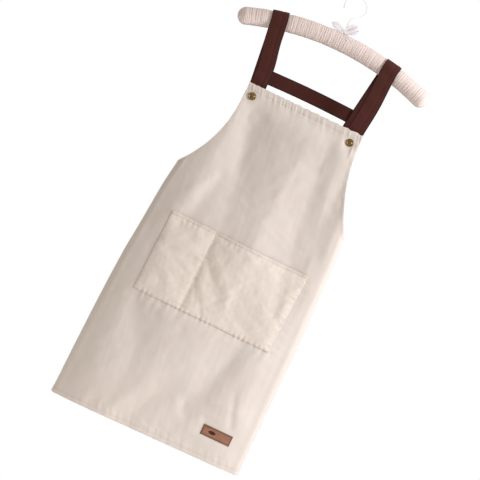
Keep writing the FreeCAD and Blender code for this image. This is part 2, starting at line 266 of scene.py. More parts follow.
class Maker:
    """Adds nodes to one tree."""

    def __init__(self, tree):
        self.tree = tree

    def add(self, kind, settings=None, inputs=None):
        """A node: its settings are set before its inputs."""
        node = self.tree.nodes.new(kind)
        for name, setting in (settings or {}).items():
            setattr(node, name, setting)
        for key, given in (inputs or {}).items():
            self.plug(given, node.inputs[key])
        return node

    def plug(self, given, socket):
        """Links a value or a socket, or sets a plain number or colour."""
        if isinstance(given, Value):
            given = given.socket
        if isinstance(given, bpy.types.NodeSocket):
            self.tree.links.new(given, socket)
        else:
            socket.default_value = given

    def value(self, kind, output, settings=None, inputs=None):
        """A node's named output as a Value."""
        return Value(self, self.add(kind, settings, inputs).outputs[output])

    def noise(self, vector, scale, detail=2.0, roughness=0.5):
        """Smooth noise between 0 and 1; scale counts its lumps in each metre of the vector."""
        inputs = {"Vector": vector, "Scale": scale, "Detail": detail, "Roughness": roughness}
        return self.value("ShaderNodeTexNoise", 0, None, inputs)

    def mix(self, share, first, second):
        """A colour between two colours."""
        settings = {"data_type": "RGBA", "clamp_factor": True}
        return self.value("ShaderNodeMix", 2, settings, {0: share, 6: first, 7: second})

    def stretched(self, vector, across, along):
        """A UV map multiplied by two numbers."""
        node = self.add("ShaderNodeVectorMath", {"operation": "MULTIPLY"}, {0: vector, 1: (across, along, 1)})
        return node.outputs[0]

    def bump(self, height, depth):
        """A Bump node for relief of that depth in metres."""
        inputs = {"Height": height, "Distance": depth, "Strength": 1.0}
        return self.add("ShaderNodeBump", None, inputs).outputs[0]


def rgb(red, green, blue):
    """A colour in linear light from the 0 to 255 values of a paint chart."""
    return tuple(((c / 255 + 0.055) / 1.055) ** 2.4 for c in (red, green, blue)) + (1.0,)


def new_material(name, **constants):
    """A material, the maker of its nodes and its surface shader, with numbers set on the shader's sockets."""
    material = bpy.data.materials.new(name)
    material.use_nodes = True
    surface = material.node_tree.nodes["Principled BSDF"]
    for socket, number in constants.items():
        surface.inputs[socket.replace("_", " ")].default_value = number
    return material, Maker(material.node_tree), surface


def uv_of(maker):
    return maker.add("ShaderNodeTexCoord").outputs["UV"]


def object_of(maker):
    return maker.add("ShaderNodeTexCoord").outputs["Object"]


# %% The sky is brighter to the camera than to the cloth, and lights it more from above than from below
sky_maker = Maker(world.node_tree)
seen = sky_maker.value("ShaderNodeLightPath", "Is Camera Ray")
direction = sky_maker.add("ShaderNodeTexCoord").outputs["Generated"]
upward = Value(sky_maker, sky_maker.add("ShaderNodeSeparateXYZ", None, {0: direction}).outputs[2])
SKY_LIGHT, SKY_SLOPE = 0.435, 0.22
glow = upward * SKY_SLOPE + SKY_LIGHT
sky_maker.plug(seen * (1 - glow) + glow, sky.inputs["Strength"])
sky_maker.plug(sky_maker.mix(seen, (1, 0.966, 0.918, 1), (1, 1, 1, 1)), sky.inputs["Color"])

# %% [markdown]
# ## Floor
# A disc with a soft paper finish. A real sweep of paper is lit by lamps of its own, which would also light
# the cloth from below. The disc glows a little instead, and stays as pale as the sky behind it.

# %% Floor disc
FLOOR_RADIUS = 1.2
FLOOR_DROP = 640.0
bpy.ops.mesh.primitive_circle_add(vertices=96, radius=FLOOR_RADIUS, fill_type="NGON")
floor = bpy.context.object
floor.name = "floor"
floor.location = (0, 0, (apron_low[2] - FLOOR_DROP) * MM)
paper, _, paper_surface = new_material("pale_floor", Roughness=0.9)
paper_surface.inputs["Base Color"].default_value = (0.9, 0.9, 0.9, 1)
paper_surface.inputs["Emission Color"].default_value = (1, 1, 1, 1)
paper_surface.inputs["Emission Strength"].default_value = 0.55
floor.data.materials.append(paper)
print("floor", FLOOR_DROP, "mm under the hem")


# %% [markdown]
# ## Cloth finishes
# The apron is a fine plain weave of cotton blend, and its pocket is a shade lighter. An image of cloth would
# do up close, but it repeats. Here the threads are two crossed waves in the cloth's own UV map, broken by
# noise that is stretched along them, because some threads are thicker. The colour varies by a few percent
# over a hand's breadth, as unbleached cotton does. A vertex attribute named `seam` mixes in painted shade: it
# darkens the sewn creases, the straps' folded edges and the covers' undersides.


# %% Woven cloth
def woven(name, tones, thread, depth, tint_share=0.5, rough=0.85, sheen=0.15, gloss=0.35):
    """A plain weave: tones are its light and dark colours and the colour of its painted seam shade, thread
    its thread spacing in metres.
    """
    material, maker, surface = new_material(
        name, Sheen_Weight=sheen, Sheen_Roughness=0.5, Specular_IOR_Level=gloss
    )
    uv = uv_of(maker)
    parts = maker.add("ShaderNodeSeparateXYZ", None, {0: uv})
    across, down = (Value(maker, parts.outputs[i]) for i in (0, 1))
    turn = 2 * math.pi / thread
    weave = (across * turn).math("SINE") * (down * turn).math("SINE")
    slub_down = maker.noise(maker.stretched(uv, 1 / thread, 12), 1.0, 1.0)
    slub_across = maker.noise(maker.stretched(uv, 12, 1 / thread), 1.0, 1.0)
    slubs = slub_down + slub_across - 1
    cloud = maker.noise(uv, 9, 3.0)
    seam = maker.value("ShaderNodeAttribute", "Fac", {"attribute_name": "seam"})
    dark = (cloud - 0.5) * tint_share + slubs * 0.25 + 0.35
    plain = maker.mix(dark, tones[0], tones[1])
    # the seam attribute mixes in the third tone as painted shade
    maker.plug(maker.mix(seam, plain, tones[2]), surface.inputs["Base Color"])
    maker.plug(cloud * 0.1 + (rough - 0.05), surface.inputs["Roughness"])
    height = weave * 0.25 + slubs * 0.6
    maker.plug(maker.bump(height, depth), surface.inputs["Normal"])
    return material


# the third colour of each is painted shade, mixed in by the seam attribute
CREAM = rgb(236, 223, 213), rgb(222, 205, 191), rgb(176, 152, 134)
BROWN = rgb(90, 46, 39), rgb(60, 29, 25), rgb(17, 10, 9)
SHELL = rgb(246, 227, 219), rgb(228, 204, 194), rgb(196, 174, 164)
POCKET_CREAM = rgb(243, 228, 216), rgb(229, 211, 196), CREAM[2]
canvas = woven("cream_canvas", CREAM, 0.0011, 0.00012)
pocket_canvas = woven("pocket_canvas", POCKET_CREAM, 0.0011, 0.00012)
strap_cloth = woven("brown_twill", BROWN, 0.0013, 0.00015, 0.6, 0.85, 0.02, 0.15)
cover_cloth = woven("gathered_cotton", SHELL, 0.0009, 0.0001)
print("cloth finishes", canvas.name, strap_cloth.name, cover_cloth.name)


# %% [markdown]
# ## Thread, ribbon, leather, brass, wire, wood and wadding
# Each is one short function. Scanned images could be wrapped round the pieces, but the pieces are small and
# noise is enough. Thread has an uneven twist, the ribbon is thin enough to let light through, leather has a
# pebbled grain and burnt edges, and worn brass is duller in patches.


# %% Thread and ribbon
def thread_finish(name, colour):
    material, maker, surface = new_material(name, Roughness=0.6, Sheen_Weight=0.2)
    spot = object_of(maker)
    twist = maker.noise(spot, 900, 2.0)
    darker = tuple(c * 0.7 for c in colour[:3]) + (1.0,)
    maker.plug(maker.mix(twist, colour, darker), surface.inputs["Base Color"])
    maker.plug(maker.bump(twist, 0.0002), surface.inputs["Normal"])
    return material


def ribbon_finish():
    # a faint painted glow, though the ribbon is no lamp, keeps the bow pale
    material, maker, surface = new_material("satin_ribbon", Sheen_Weight=0.4, Emission_Strength=0.09)
    surface.inputs["Emission Color"].default_value = (1, 0.96, 0.96, 1)
    uv = uv_of(maker)
    warp = maker.noise(maker.stretched(uv, 2500, 60), 1.0, 2.0)
    cloud = maker.noise(uv, 120, 2.0)
    shade = warp * 0.4 + cloud * 0.5
    maker.plug(maker.mix(shade, rgb(255, 250, 252), rgb(240, 229, 233)), surface.inputs["Base Color"])
    maker.plug(0.42 + warp * 0.3, surface.inputs["Alpha"])
    maker.plug(0.3 + cloud * 0.3, surface.inputs["Roughness"])
    maker.plug(maker.bump(warp + cloud, 0.0003), surface.inputs["Normal"])
    return material


cream_thread = thread_finish("cream_thread", rgb(236, 220, 204))
brown_thread = thread_finish("brown_thread", rgb(60, 33, 28))
tan_thread = thread_finish("tan_thread", rgb(150, 112, 88))
ribbon = ribbon_finish()


# %% Leather
def leather_finish():
    material, maker, surface = new_material(
        "tan_leather", Coat_Weight=0.03, Coat_Roughness=0.5, Specular_IOR_Level=0.22
    )
    spot = object_of(maker)
    pebble = maker.value("ShaderNodeTexVoronoi", 0, None, {"Vector": spot, "Scale": 900})
    grain = maker.noise(spot, 260, 5.0, 0.6)
    patch = maker.noise(spot, 55, 2.0)
    edge = maker.value("ShaderNodeAttribute", "Fac", {"attribute_name": "edge"})
    mark = maker.value("ShaderNodeAttribute", "Fac", {"attribute_name": "mark"})
    tan = maker.mix(patch * 1.8 - 0.4, rgb(184, 130, 106), rgb(146, 102, 80))
    burnt = maker.mix(edge * 0.7 + grain * 0.2 - 0.06, tan, rgb(104, 76, 56))
    pressed = maker.mix(mark, burnt, rgb(48, 8, 4))
    maker.plug(pressed, surface.inputs["Base Color"])
    maker.plug(0.5 + grain * 0.25, surface.inputs["Roughness"])
    maker.plug(maker.bump(grain * 0.6 - pebble * 0.5, 0.00025), surface.inputs["Normal"])
    return material


leather = leather_finish()


# %% Brass and steel
def metal_finish(name, bright, dull, rough, scratches):
    """A worn metal: scratches is the scale of its marks."""
    material, maker, surface = new_material(name, Metallic=1.0)
    spot = object_of(maker)
    wear = maker.noise(spot, scratches, 4.0, 0.6)
    patch = maker.noise(spot, 300, 2.0)
    maker.plug(maker.mix(patch * 0.7 + wear * 0.3, bright, dull), surface.inputs["Base Color"])
    maker.plug(rough - 0.1 + wear * 0.25, surface.inputs["Roughness"])
    maker.plug(maker.bump(wear, 0.00004), surface.inputs["Normal"])
    return material


brass = metal_finish("antique_brass", rgb(176, 148, 98), rgb(112, 88, 52), 0.38, 1500)
steel = metal_finish("drawn_steel", rgb(205, 205, 206), rgb(150, 151, 154), 0.32, 2400)


# %% Wood and wadding, which the cover hides
def wood_finish():
    material, maker, surface = new_material("beech", Roughness=0.55)
    spot = object_of(maker)
    long_grain = maker.add("ShaderNodeVectorMath", {"operation": "MULTIPLY"}, {0: spot, 1: (12, 160, 160)})
    rings = maker.noise(long_grain.outputs[0], 2.0, 5.0, 0.65)
    fleck = maker.noise(spot, 700, 2.0)
    maker.plug(maker.mix(rings, rgb(216, 178, 132), rgb(160, 116, 76)), surface.inputs["Base Color"])
    maker.plug(maker.bump(rings + fleck * 0.3, 0.0002), surface.inputs["Normal"])
    return material


def wadding_finish():
    material, maker, surface = new_material("wadding", Roughness=1.0, Sheen_Weight=0.3)
    spot = object_of(maker)
    fibre = maker.noise(spot, 500, 6.0, 0.7)
    maker.plug(maker.mix(fibre, rgb(244, 242, 236), rgb(214, 210, 202)), surface.inputs["Base Color"])
    maker.plug(maker.bump(fibre, 0.0008), surface.inputs["Normal"])
    return material


CAD_FINISHES = {
    "hook_wire": steel,
    "hook_collar": steel,
    "hook_washer": steel,
    "hanger_core": wood_finish(),
    "padding_left": wadding_finish(),
}
CAD_FINISHES["padding_right"] = CAD_FINISHES["padding_left"]
for side in ("left", "right"):
    for part in ("socket", "stud", "post"):
        CAD_FINISHES[f"snap_{part}_{side}"] = brass
for node, finish in CAD_FINISHES.items():
    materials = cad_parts[node].data.materials
    materials.clear()
    materials.append(finish)
print(len(CAD_FINISHES), "CAD nodes keep their shape and get a finish")

# %% [markdown]
# ## The apron's shape
# The panel is one flat piece of cloth. A cloth simulation could drape it, but its folds fall where they
# like, and here each fold has a place. So the panel is a formula over its flat pattern, which has two
# coordinates: how far a point is from the apron's middle, measured along the cloth, and its height. The
# cloth runs flat across the front, turns round each side in a half circle and comes back behind. That rule
# gives the place of any point and the direction that faces out, and every fold, hem and pucker is a number
# of millimetres along that direction.

# %% Sizes of the panel, from its CAD node
# how far the hem reaches to the left and to the right of the apron's middle
HEM_TO_LEFT, HEM_TO_RIGHT = 218, 191
MIDDLE = (apron_low[0] + HEM_TO_LEFT + apron_high[0] - HEM_TO_RIGHT) / 2
BIB_TOP = apron_high[2]
HEM = apron_low[2]
FRONT = apron_low[1]
BACK = apron_high[1]
TURN_R = 15.0
# how far the front stands out, how much more below the armholes and near the hem,
# and how far from the left and the right side fold it takes to do so
BELLY = 8.0
BELLY_MORE = 4.5
BELLY_LOW = 5.5
BELLY_RUN = (98.0, 78.0)
# how far the bib leans out over the padded bar
BIB_FORWARD = 8.0
DEPTH_MIDDLE = BACK - BELLY - TURN_R
ARMHOLE_END = BIB_TOP - 203.0
WAIST_CORNER = ARMHOLE_END - 47.0
HALF_BACK_GAP = 70.0
CLOTH = 0.55
HEM_HEIGHT = 11.0
BIB_HEM_HEIGHT = 14.0
EDGE_HEM = 7.0
STITCH_IN = 1.6
print("middle", round(MIDDLE, 1), "depth middle", round(DEPTH_MIDDLE, 1), "hem", round(HEM, 1))


# %% Outline of the cloth
def side_fold(side, z):
    """How far out the side fold stands from the apron's middle."""
    drop = (ARMHOLE_END - z) / (ARMHOLE_END - HEM)
    if side < 0:
        return np.interp(drop, [0, 0.1, 0.38, 1], [188, 195.5, 207.5, 220])
    return np.interp(drop, [0, 0.08, 0.5, 1], [181, 185, 189, 193])


def cut_edge(side, z):
    """How far the cut edge is from the middle: the armhole, the waist corner, then the back edge."""
    flat = side_fold(side, z) - TURN_R
    half_bib, start, power = (124.5, 22.0, 2.35) if side < 0 else (126.5, 17.0, 1.9)
    start = BIB_TOP - start
    share = np.clip((start - z) / (start - ARMHOLE_END), 0, 1)
    reach = half_bib + (flat + TURN_R - half_bib) * share**power
    turned = flat + TURN_R * np.arcsin(np.clip((reach - flat) / TURN_R, 0, 1))
    front = np.where(reach < flat, reach, turned)
    at_side = flat + TURN_R * math.pi / 2
    full = flat + TURN_R * math.pi + flat - HALF_BACK_GAP
    share = np.clip((ARMHOLE_END - z) / (ARMHOLE_END - WAIST_CORNER), 0, 1)
    return np.where(z > ARMHOLE_END, front, at_side + (full - at_side) * share)


# %% [markdown]
# ## How the cloth drapes
# A hanging cloth falls in nearly flat facets that meet at soft creases, and it is the slope of a facet that
# makes it light or dark. So the bib and the skirt are each a few creases, with the slope of the cloth to the
# right of each one at five heights, all listed. A shorter fold is one call of `fold`, with a start, an end, a
# width and a height. Stitching shortens a seam a little, so the cloth beside it puckers: an uneven wave that
# dies away from the seam.


# %% Folds as lines where the slope changes
BIB_LEVELS = (-280, -350, -430, -500, -545)
BIB_CREASES = [
    # where each crease is at those heights, and the slope of the cloth to the right of it
    ((-124, -128, -131, -150, -160), (-0.34, -0.34, -0.22, -0.10, -0.06)),
    ((-98, -88, -70, -60, -56), (0.14, 0.12, 0.10, 0.08, 0.08)),
    ((-55, -40, -22, -16, -14), (0.02, 0.03, 0.08, 0.10, 0.11)),
    ((38, 28, 20, 18, 18), (-0.14, -0.19, -0.21, -0.20, -0.18)),
    ((70, 74, 82, 92, 100), (0.14, 0.16, 0.13, 0.11, 0.11)),
    ((90, 102, 116, 130, 140), (-0.12, -0.14, -0.16, -0.20, -0.20)),
]
SKIRT_LEVELS = (-735, -800, -860, -920, -970)
SKIRT_CREASES = [
    ((-175, -160, -140, -125, -115), (-0.10, -0.12, -0.06, -0.02, 0)),
    ((-148, -122, -105, -95, -88), (0.16, 0.16, 0.12, 0.06, 0.03)),
    ((-84, -66, -62, -82, -100), (0.02, 0.02, -0.06, -0.12, -0.10)),
    ((-10, -4, -8, -42, -66), (-0.04, -0.08, 0.10, 0.12, 0.08)),
    ((18, 20, 22, -10, -30), (-0.12, -0.18, -0.14, 0.0, 0.0)),
    ((84, 66, 44, 30, 20), (0.18, 0.24, 0.20, 0.04, 0.02)),
    ((110, 96, 80, 62, 50), (-0.06, 0.0, -0.01, -0.02, -0.02)),
]


def creased(x, z, levels, creases, first_slope, soft, stand):
    """Height of cloth whose slope changes at each crease; soft is how rounded the creases are."""
    up = levels[::-1]
    slope = np.interp(z, up, first_slope[::-1])
    height = slope * (x - np.interp(z, up, creases[0][0][::-1]))
    for places, slopes in creases:
        here = x - np.interp(z, up, places[::-1])
        after = np.interp(z, up, slopes[::-1])
        height = height + (after - slope) / 2 * (np.sqrt(here**2 + soft**2) - soft + here)
        slope = after
    edge = np.minimum(x - MIDDLE + side_fold(-1, z), MIDDLE + side_fold(1, z) - x) - TURN_R
    return (height + stand * rise((x + 110) / 120)) * rise(edge / 46)


# %% Broad folds of the front
def front_folds(x, z):
    """Height of the drape at x and z, in millimetres; positive stands towards the viewer."""
    bib = creased(x, z, BIB_LEVELS, BIB_CREASES, (0.05, 0.05, 0.0, 0, 0), 7.0, 5.0)
    bib = (bib + 5.0 * rise((z - BIB_TOP + 110) / 70)) * rise((BIB_TOP - 12 - z) / 45)
    bib = bib * (1 - rise((-565 - z) / 110))
    skirt = creased(x, z, SKIRT_LEVELS, SKIRT_CREASES, (0.0,) * 5, 9.0, 1.0)
    skirt = skirt * rise((-685 - z) / 60)
    runs = [
        ((-100, -448), (-128, -560), (12, 24), (-2.0, -3.2)),
        ((-116, -446), (-160, -560), (11, 17), (1.2, 1.5)),
        ((-60, -885), (-105, -960), (16, 20), (1.5, 2.0)),
        ((112, -825), (134, -893), (7, 8), (-1.0, -2.8)),
        ((6, -884), (30, -918), (9, 10), (0.8, 0.7)),
        ((24, -880), (46, -912), (9, 10), (-1.0, -0.8)),
        ((66, -935), (160, -948), (12, 14), (1.4, 1.4)),
    ]
    lumps = 0.3 * rumple(x, z, 48, 51) + 0.13 * rumple(x, z, 21, 52)
    return bib + skirt + lumps + sum(fold(x, z, *run) for run in runs)


# %% Puckers and hems of the front
pocket_low, pocket_high = place("pocket_patch")
POCKET_LEAN = (4.6, 7.5)
DIVIDER = (pocket_low[0] + 100.5, pocket_low[0] + 98.0)
cap_boxes = [place(f"snap_cap_{name}") for name in ("left", "right")]
SNAPS = [(low[0] + high[0]) / 2 for low, high in cap_boxes]
SNAP_Z = (cap_boxes[0][0][2] + cap_boxes[0][1][2]) / 2


def hem_step(inside, width):
    """The folded hem: one more layer up to width from the edge, with a groove where it is stitched."""
    return 0.5 * rise((width - inside) / 1.5 + 0.5) - 0.45 * bell((inside - width + STITCH_IN) / 1.3)


def front_details(x, z):
    """Hems and puckers of the front at x and z."""
    inside_top = BIB_TOP - z
    inside_hem = z - HEM
    top_puckers = uneven(x + 0.25 * z, 9.0, 11) * bell((inside_top - 9) / 8.0) * 0.7
    top_puckers += uneven(x + 0.2 * z, 17.0, 12) * bell((inside_top - 12) / 11.0) * 0.6
    hem_puckers = uneven(x + 0.25 * z, 13.0, 13) * bell((inside_hem - HEM_HEIGHT) / 10.0) * 0.7
    hem_puckers += uneven(x, 24.0, 14) * bell((inside_hem - 14) / 22.0) * 0.7
    below = pocket_low[2] - z
    across = (x > pocket_low[0] - 14) & (x < pocket_high[0] + 4)
    pulls = uneven(x - 0.15 * z, 19.0, 15) * rise((below + 3) / 6) * bell(below / 24.0) * across * 0.8
    pulls += uneven(x, 10.5, 17, 0.2, 3) * rise((below + 3) / 4) * bell(below / 8.0) * across * 0.75
    side = uneven(z, 17.0, 16) * bell((x - pocket_high[0] - 3) / 9.0) * (z < pocket_high[2]) * (below < 0)
    star = 0
    for i in range(3):
        start, end = (SNAPS[1] + 7, SNAP_Z - 4 - i), (SNAPS[1] + 17 - 3 * i, SNAP_Z - 20 - 4 * i)
        star = star + fold(x, z, start, end, (1.8, 2.4), (1.2, 0.5))
    return top_puckers * 0.4 + hem_puckers * 0.38 + pulls * 0.42 + side * 0.6 + star


# %% The place of any point of the cloth
STRAP_END = BIB_TOP - 45
label_low, label_high = place("label_patch")
HEM_RISE, RISE_FROM, RISE_WIDTH = 7.0, -222, 410


def hem_slant(x, z):
    """The hem rises a little towards the right."""
    return HEM_RISE * (x - RISE_FROM) / RISE_WIDTH * rise((ARMHOLE_END - 200 - z) / 320)


def flat_spots(x, z):
    """1 under the snaps and the label, which hold the cloth flat, and 0 away from them."""
    near_snap = sum(rise(1.9 - np.hypot(x - at, z - SNAP_Z) / 9.0) for at in SNAPS)
    off_x = np.maximum(label_low[0] - x, x - label_high[0])
    off_z = np.maximum(label_low[2] - z, z - label_high[2])
    return np.clip(near_snap + 0.85 * rise(1 - np.maximum(off_x, off_z) / 14.0), 0, 1)


def back_folds(p, z):
    """Slow uprights on the back flaps, and at the sides."""
    return uneven(p + 0.09 * z, 66.0, 21) * 3.2 * rise((ARMHOLE_END - 70 - z) / 190)


def cloth_point(p, z, lift=0.0):
    """The outer face of the panel at p along the cloth and height z, lifted outwards."""
    # round the side fold: flat in front, a half circle, then flat behind
    side = np.where(p < 0, -1.0, 1.0)
    far = np.abs(p)
    flat = np.where(p < 0, side_fold(-1, z), side_fold(1, z)) - TURN_R
    half_turn = math.pi * TURN_R
    angle = np.clip(far - flat, 0, half_turn) / TURN_R
    behind = np.clip(far - flat - half_turn, 0, None)
    x = side * (np.minimum(far, flat) + TURN_R * np.sin(angle) - behind)
    out_x, out_y = side * np.sin(angle), -np.cos(angle)
    # how far it stands out: the belly, the bib's lean, the drape and the hems
    facing = rise(np.cos(angle) * 1.5)
    from_turn = np.maximum(flat - far, far - flat - half_turn) / np.where(p < 0, *BELLY_RUN)
    from_turn = np.clip(from_turn, 0, 1)
    more = BELLY_MORE * rise((ARMHOLE_END + 60 - z) / 160) + BELLY_LOW * rise((-620 - z) / 320)
    stand = BELLY + more * (1 - 0.7 * rise((p + 90) / 180)) * facing
    belly = stand * (1 - (1 - from_turn) ** 2.6)
    forward = BIB_FORWARD * rise((z - ARMHOLE_END + 20) / 170.0) * facing
    real_x = MIDDLE + x
    drape = front_folds(real_x, z) + front_details(real_x, z)
    drape = np.maximum(drape, -2.5 - 12 * rise((STRAP_END - 6 - z) / 60)) * (1 - flat_spots(real_x, z))
    relief = facing * drape
    inside = np.where(p < 0, cut_edge(-1, z), cut_edge(1, z)) - far
    relief = relief + (1 - facing) * back_folds(p, z) + hem_step(inside, EDGE_HEM) * 0.6
    relief = relief + hem_step(BIB_TOP - z, BIB_HEM_HEIGHT) + hem_step(z - HEM, HEM_HEIGHT)
    height = belly + forward + relief + lift
    edge_pull = 0.4 * uneven(z, 9.0, 22) * bell((inside - 6) / 5.0) * (z > ARMHOLE_END)
    height = height + edge_pull
    # the hem's slant, and the bib's edge drawn up unevenly by its stitching
    slant = hem_slant(real_x, z) + 3.5 * np.sin(angle) ** 4 * rise((HEM + 26 - z) / 26)
    scallop = 0.8 * uneven(real_x, 16.0, 31) * bell((BIB_TOP - z) / 5.0)
    y = DEPTH_MIDDLE - TURN_R * np.cos(angle) + out_y * height
    return np.stack([real_x + out_x * height, y, z + slant + scallop], axis=-1)


# %% The panel's grid
def steps(*stretches):
    """Row places: each stretch is (end, step), starting at 0."""
    rows = [0.0]
    for end, step in stretches:
        count = max(1, round((end - rows[-1]) / step))
        rows += list(np.linspace(rows[-1], end, count + 1)[1:])
    return np.array(rows)


length = BIB_TOP - HEM
row_z = BIB_TOP - steps(
    (30, 1.9), (196, 5.0), (262, 3.0), (462, 5.6), (506, 2.6), (length - 26, 5.6), (length, 1.9)
)
INNER, OUTER = 76, 36
FINE_HALF = 168.0
inner = np.linspace(-1, 1, 2 * INNER + 1)
outer = np.linspace(0, 1, OUTER + 1)[1:]


def row_columns(z):
    """Points along one row of the panel, from the left cut edge to the right one."""
    left, right = cut_edge(-1, z), cut_edge(1, z)
    near_left, near_right = min(0.9 * left, FINE_HALF), min(0.9 * right, FINE_HALF)
    middle = np.where(inner < 0, inner * near_left, inner * near_right)
    left_part = -(near_left + (left - near_left) * outer)[::-1]
    right_part = near_right + (right - near_right) * outer
    return np.concatenate([left_part, middle, right_part])


P = np.array([row_columns(z) for z in row_z])
Z = np.repeat(row_z[:, None], P.shape[1], axis=1)
apron = cloth_piece("apron_cloth", cloth_point(P, Z), np.stack([P, Z], axis=-1), CLOTH)
apron.data.materials.append(canvas)


def set_attribute(piece, name, values):
    """Writes one number for each point of a piece."""
    attribute = piece.data.attributes.new(name, "FLOAT", "POINT")
    attribute.data.foreach_set("value", np.asarray(values, np.float32).ravel())


def panel_seam_shade(p, z):
    """1 in the stitched grooves of the panel, where shade is painted, and 0 away from them."""
    edge = np.where(p < 0, cut_edge(-1, z), cut_edge(1, z)) - np.abs(p)
    top = bell((BIB_TOP - z - BIB_HEM_HEIGHT + STITCH_IN) / 1.4)
    bottom = bell((z - HEM - HEM_HEIGHT + STITCH_IN) / 1.4)
    return np.clip(top + bottom + bell((edge - EDGE_HEM + STITCH_IN) / 1.4) * 0.5, 0, 1)


# faint painted shade in the panel's stitched grooves
set_attribute(apron, "seam", panel_seam_shade(P, Z) * 0.1)
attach(apron, "apron")
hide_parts("apron_panel")

# %% [markdown]
# ## Pocket
# One patch makes both compartments: it is sewn to the panel at its sides and foot and along a divider.
# Between the seams it stands away a little, deeper where it has room, and its folded mouth hangs open. A
# flat patch in front would cut through the folds, so its formula starts from the panel's own point behind
# it and adds its own folds, which run from the ends of the seams.


# %% Pocket patch
def pocket_edges(v):
    """Left edge, divider and right edge of the patch at v, from 0 at the mouth to 1 at the foot."""
    left = pocket_low[0] - POCKET_LEAN[0] * v
    divider = DIVIDER[0] + (DIVIDER[1] - DIVIDER[0]) * v
    right = pocket_high[0] - POCKET_LEAN[1] * v
    return left, divider, right


def pocket_folds(x, z):
    """Drag folds of the pocket, in millimetres towards the viewer."""
    runs = [
        ((-150, -600), (-84, -596), (10, 12), (1.5, 1.5)),
        ((-148, -616), (-80, -614), (7, 8), (-1.2, -1.5)),
        ((-122, -650), (-92, -690), (14, 16), (1.0, 1.3)),
        ((-95, -560), (-75, -580), (10, 10), (1.0, 1.0)),
        ((-54, -606), (-4, -664), (6, 11), (-2.3, -1.3)),
        ((-38, -594), (20, -656), (9, 14), (1.5, 1.0)),
        ((-54, -640), (-30, -672), (7, 8), (1.0, 1.0)),
        ((-56, -658), (-40, -690), (4, 5), (-1.2, -1.1)),
        ((-34, -684), (-18, -712), (4, 5), (-0.9, -1.0)),
        ((10, -638), (24, -714), (13, 17), (0.9, 1.9)),
        ((30, -566), (60, -570), (14, 16), (1.0, 1.0)),
        ((76, -570), (84, -640), (18, 20), (1.6, 1.2)),
        ((104, -590), (114, -640), (14, 15), (-1.2, -1.2)),
        ((124, -592), (130, -640), (8, 9), (1.2, 1.6)),
        ((116, -652), (132, -660), (6, 6), (-1.0, -1.2)),
    ]
    return sum(fold(x, z, *run) for run in runs) + 0.35 * rumple(x, z, 30, 53) + 0.14 * rumple(x, z, 13, 54)


MOUTH_HEM, MOUTH_STITCH_IN = 5.5, 0.8
SEAM_IN = 1.8
POCKET_DEEP = 172.0
POCKET_ROWS = steps((9, 1.2), (160, 2.6), (POCKET_DEEP, 1.5)) / POCKET_DEEP
POCKET_FALL, FALL_FROM, FALL_WIDTH = 3.0, -158, 302
pocket_top, pocket_foot = pocket_high[2], pocket_low[2]


def pocket_point(u, v, lift=0.0):
    """The outer face of the pocket: u runs from 0 to 1 over each compartment, 0 to 2 over both."""
    left, divider, right = pocket_edges(v)
    x = np.where(u < 1, left + (divider - left) * u, divider + (right - divider) * (u - 1))
    fall = POCKET_FALL * np.clip((x - FALL_FROM) / FALL_WIDTH, 0, 1)
    z = pocket_top + (pocket_foot - pocket_top) * v - fall
    room = np.where(u < 1, divider - left, right - divider)
    within = np.abs(u - np.round(u)) * room
    to_foot = (1 - v) * (pocket_top - pocket_foot)
    seam = np.minimum(within, to_foot)
    puff = (1.4 + 0.012 * room) * (1 - np.exp(-seam / 13.0))
    mouth = np.sin(np.pi * np.mod(u, 1)) * bell(v / 0.12) * (0.2 + 0.0025 * room)
    ease = (1 - np.exp(-seam / 9.0)) * pocket_folds(x, z)
    side_pull = uneven(z, 12.0, 41) * bell(within / 10.0) * (0.4 + 0.5 * (u > 1.5))
    foot_pull = uneven(x, 10.5, 17, 0.2, 3) * bell(to_foot / 8.0) * 0.45
    down = v * POCKET_DEEP
    top_pull = uneven(x, 11.0, 43) * bell((down - 9) / 7.0) * 0.28
    hem = 0.6 * rise((MOUTH_HEM - down) / 1.5 + 0.5)
    hem = hem - 0.6 * bell((down - MOUTH_HEM + MOUTH_STITCH_IN) / 1.2)
    groove = -0.5 * bell((within - SEAM_IN) / 1.2) - 0.5 * bell((to_foot - SEAM_IN) / 1.2)
    closing = 1 - 0.62 * bell(v / 0.09)
    height = 0.78 + puff * closing + mouth + ease + side_pull + foot_pull + top_pull + hem + groove
    sag = -1.5 * np.sin(np.pi * np.mod(u, 1)) * bell(v / 0.1) * (room > 150)
    on_panel = cloth_point(x - MIDDLE, z)
    return np.stack([x, on_panel[..., 1] - np.maximum(height, 0.72) - lift, on_panel[..., 2] + sag], axis=-1)


across_small = np.linspace(0, 1, 46)
across_large = 1 + np.linspace(0, 1, 88)[1:]
U, V = np.meshgrid(np.concatenate([across_small, across_large]), POCKET_ROWS)
pocket_grid = pocket_point(U, V)
pocket = cloth_piece("pocket_cloth", pocket_grid, pocket_grid[..., [0, 2]], CLOTH)
pocket.data.materials.append(pocket_canvas)
left_edge, divider_line, right_edge = pocket_edges(V)
to_side = np.minimum(np.abs(pocket_grid[..., 0] - left_edge), np.abs(right_edge - pocket_grid[..., 0]))
to_side = np.minimum(to_side, (1 - V) * POCKET_DEEP)
# painted shade along the pocket's seams, its divider and the mouth's stitch groove, uneven along them
pocket_seam_shade = bell((to_side - 1.2) / 1.6) + bell((pocket_grid[..., 0] - divider_line) / 1.6)
mouth_groove_shade = 1.2 * bell((V * POCKET_DEEP - MOUTH_HEM + 0.6) / 1.2)
pocket_seam_shade = np.clip(pocket_seam_shade + mouth_groove_shade, 0, 1)
pocket_seam_shade = pocket_seam_shade * (0.12 + 0.14 * uneven(pocket_grid[..., 0] + pocket_grid[..., 2], 11.0, 44))
set_attribute(pocket, "seam", np.clip(pocket_seam_shade, 0, 1))
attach(pocket, "apron")
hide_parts("pocket_patch")


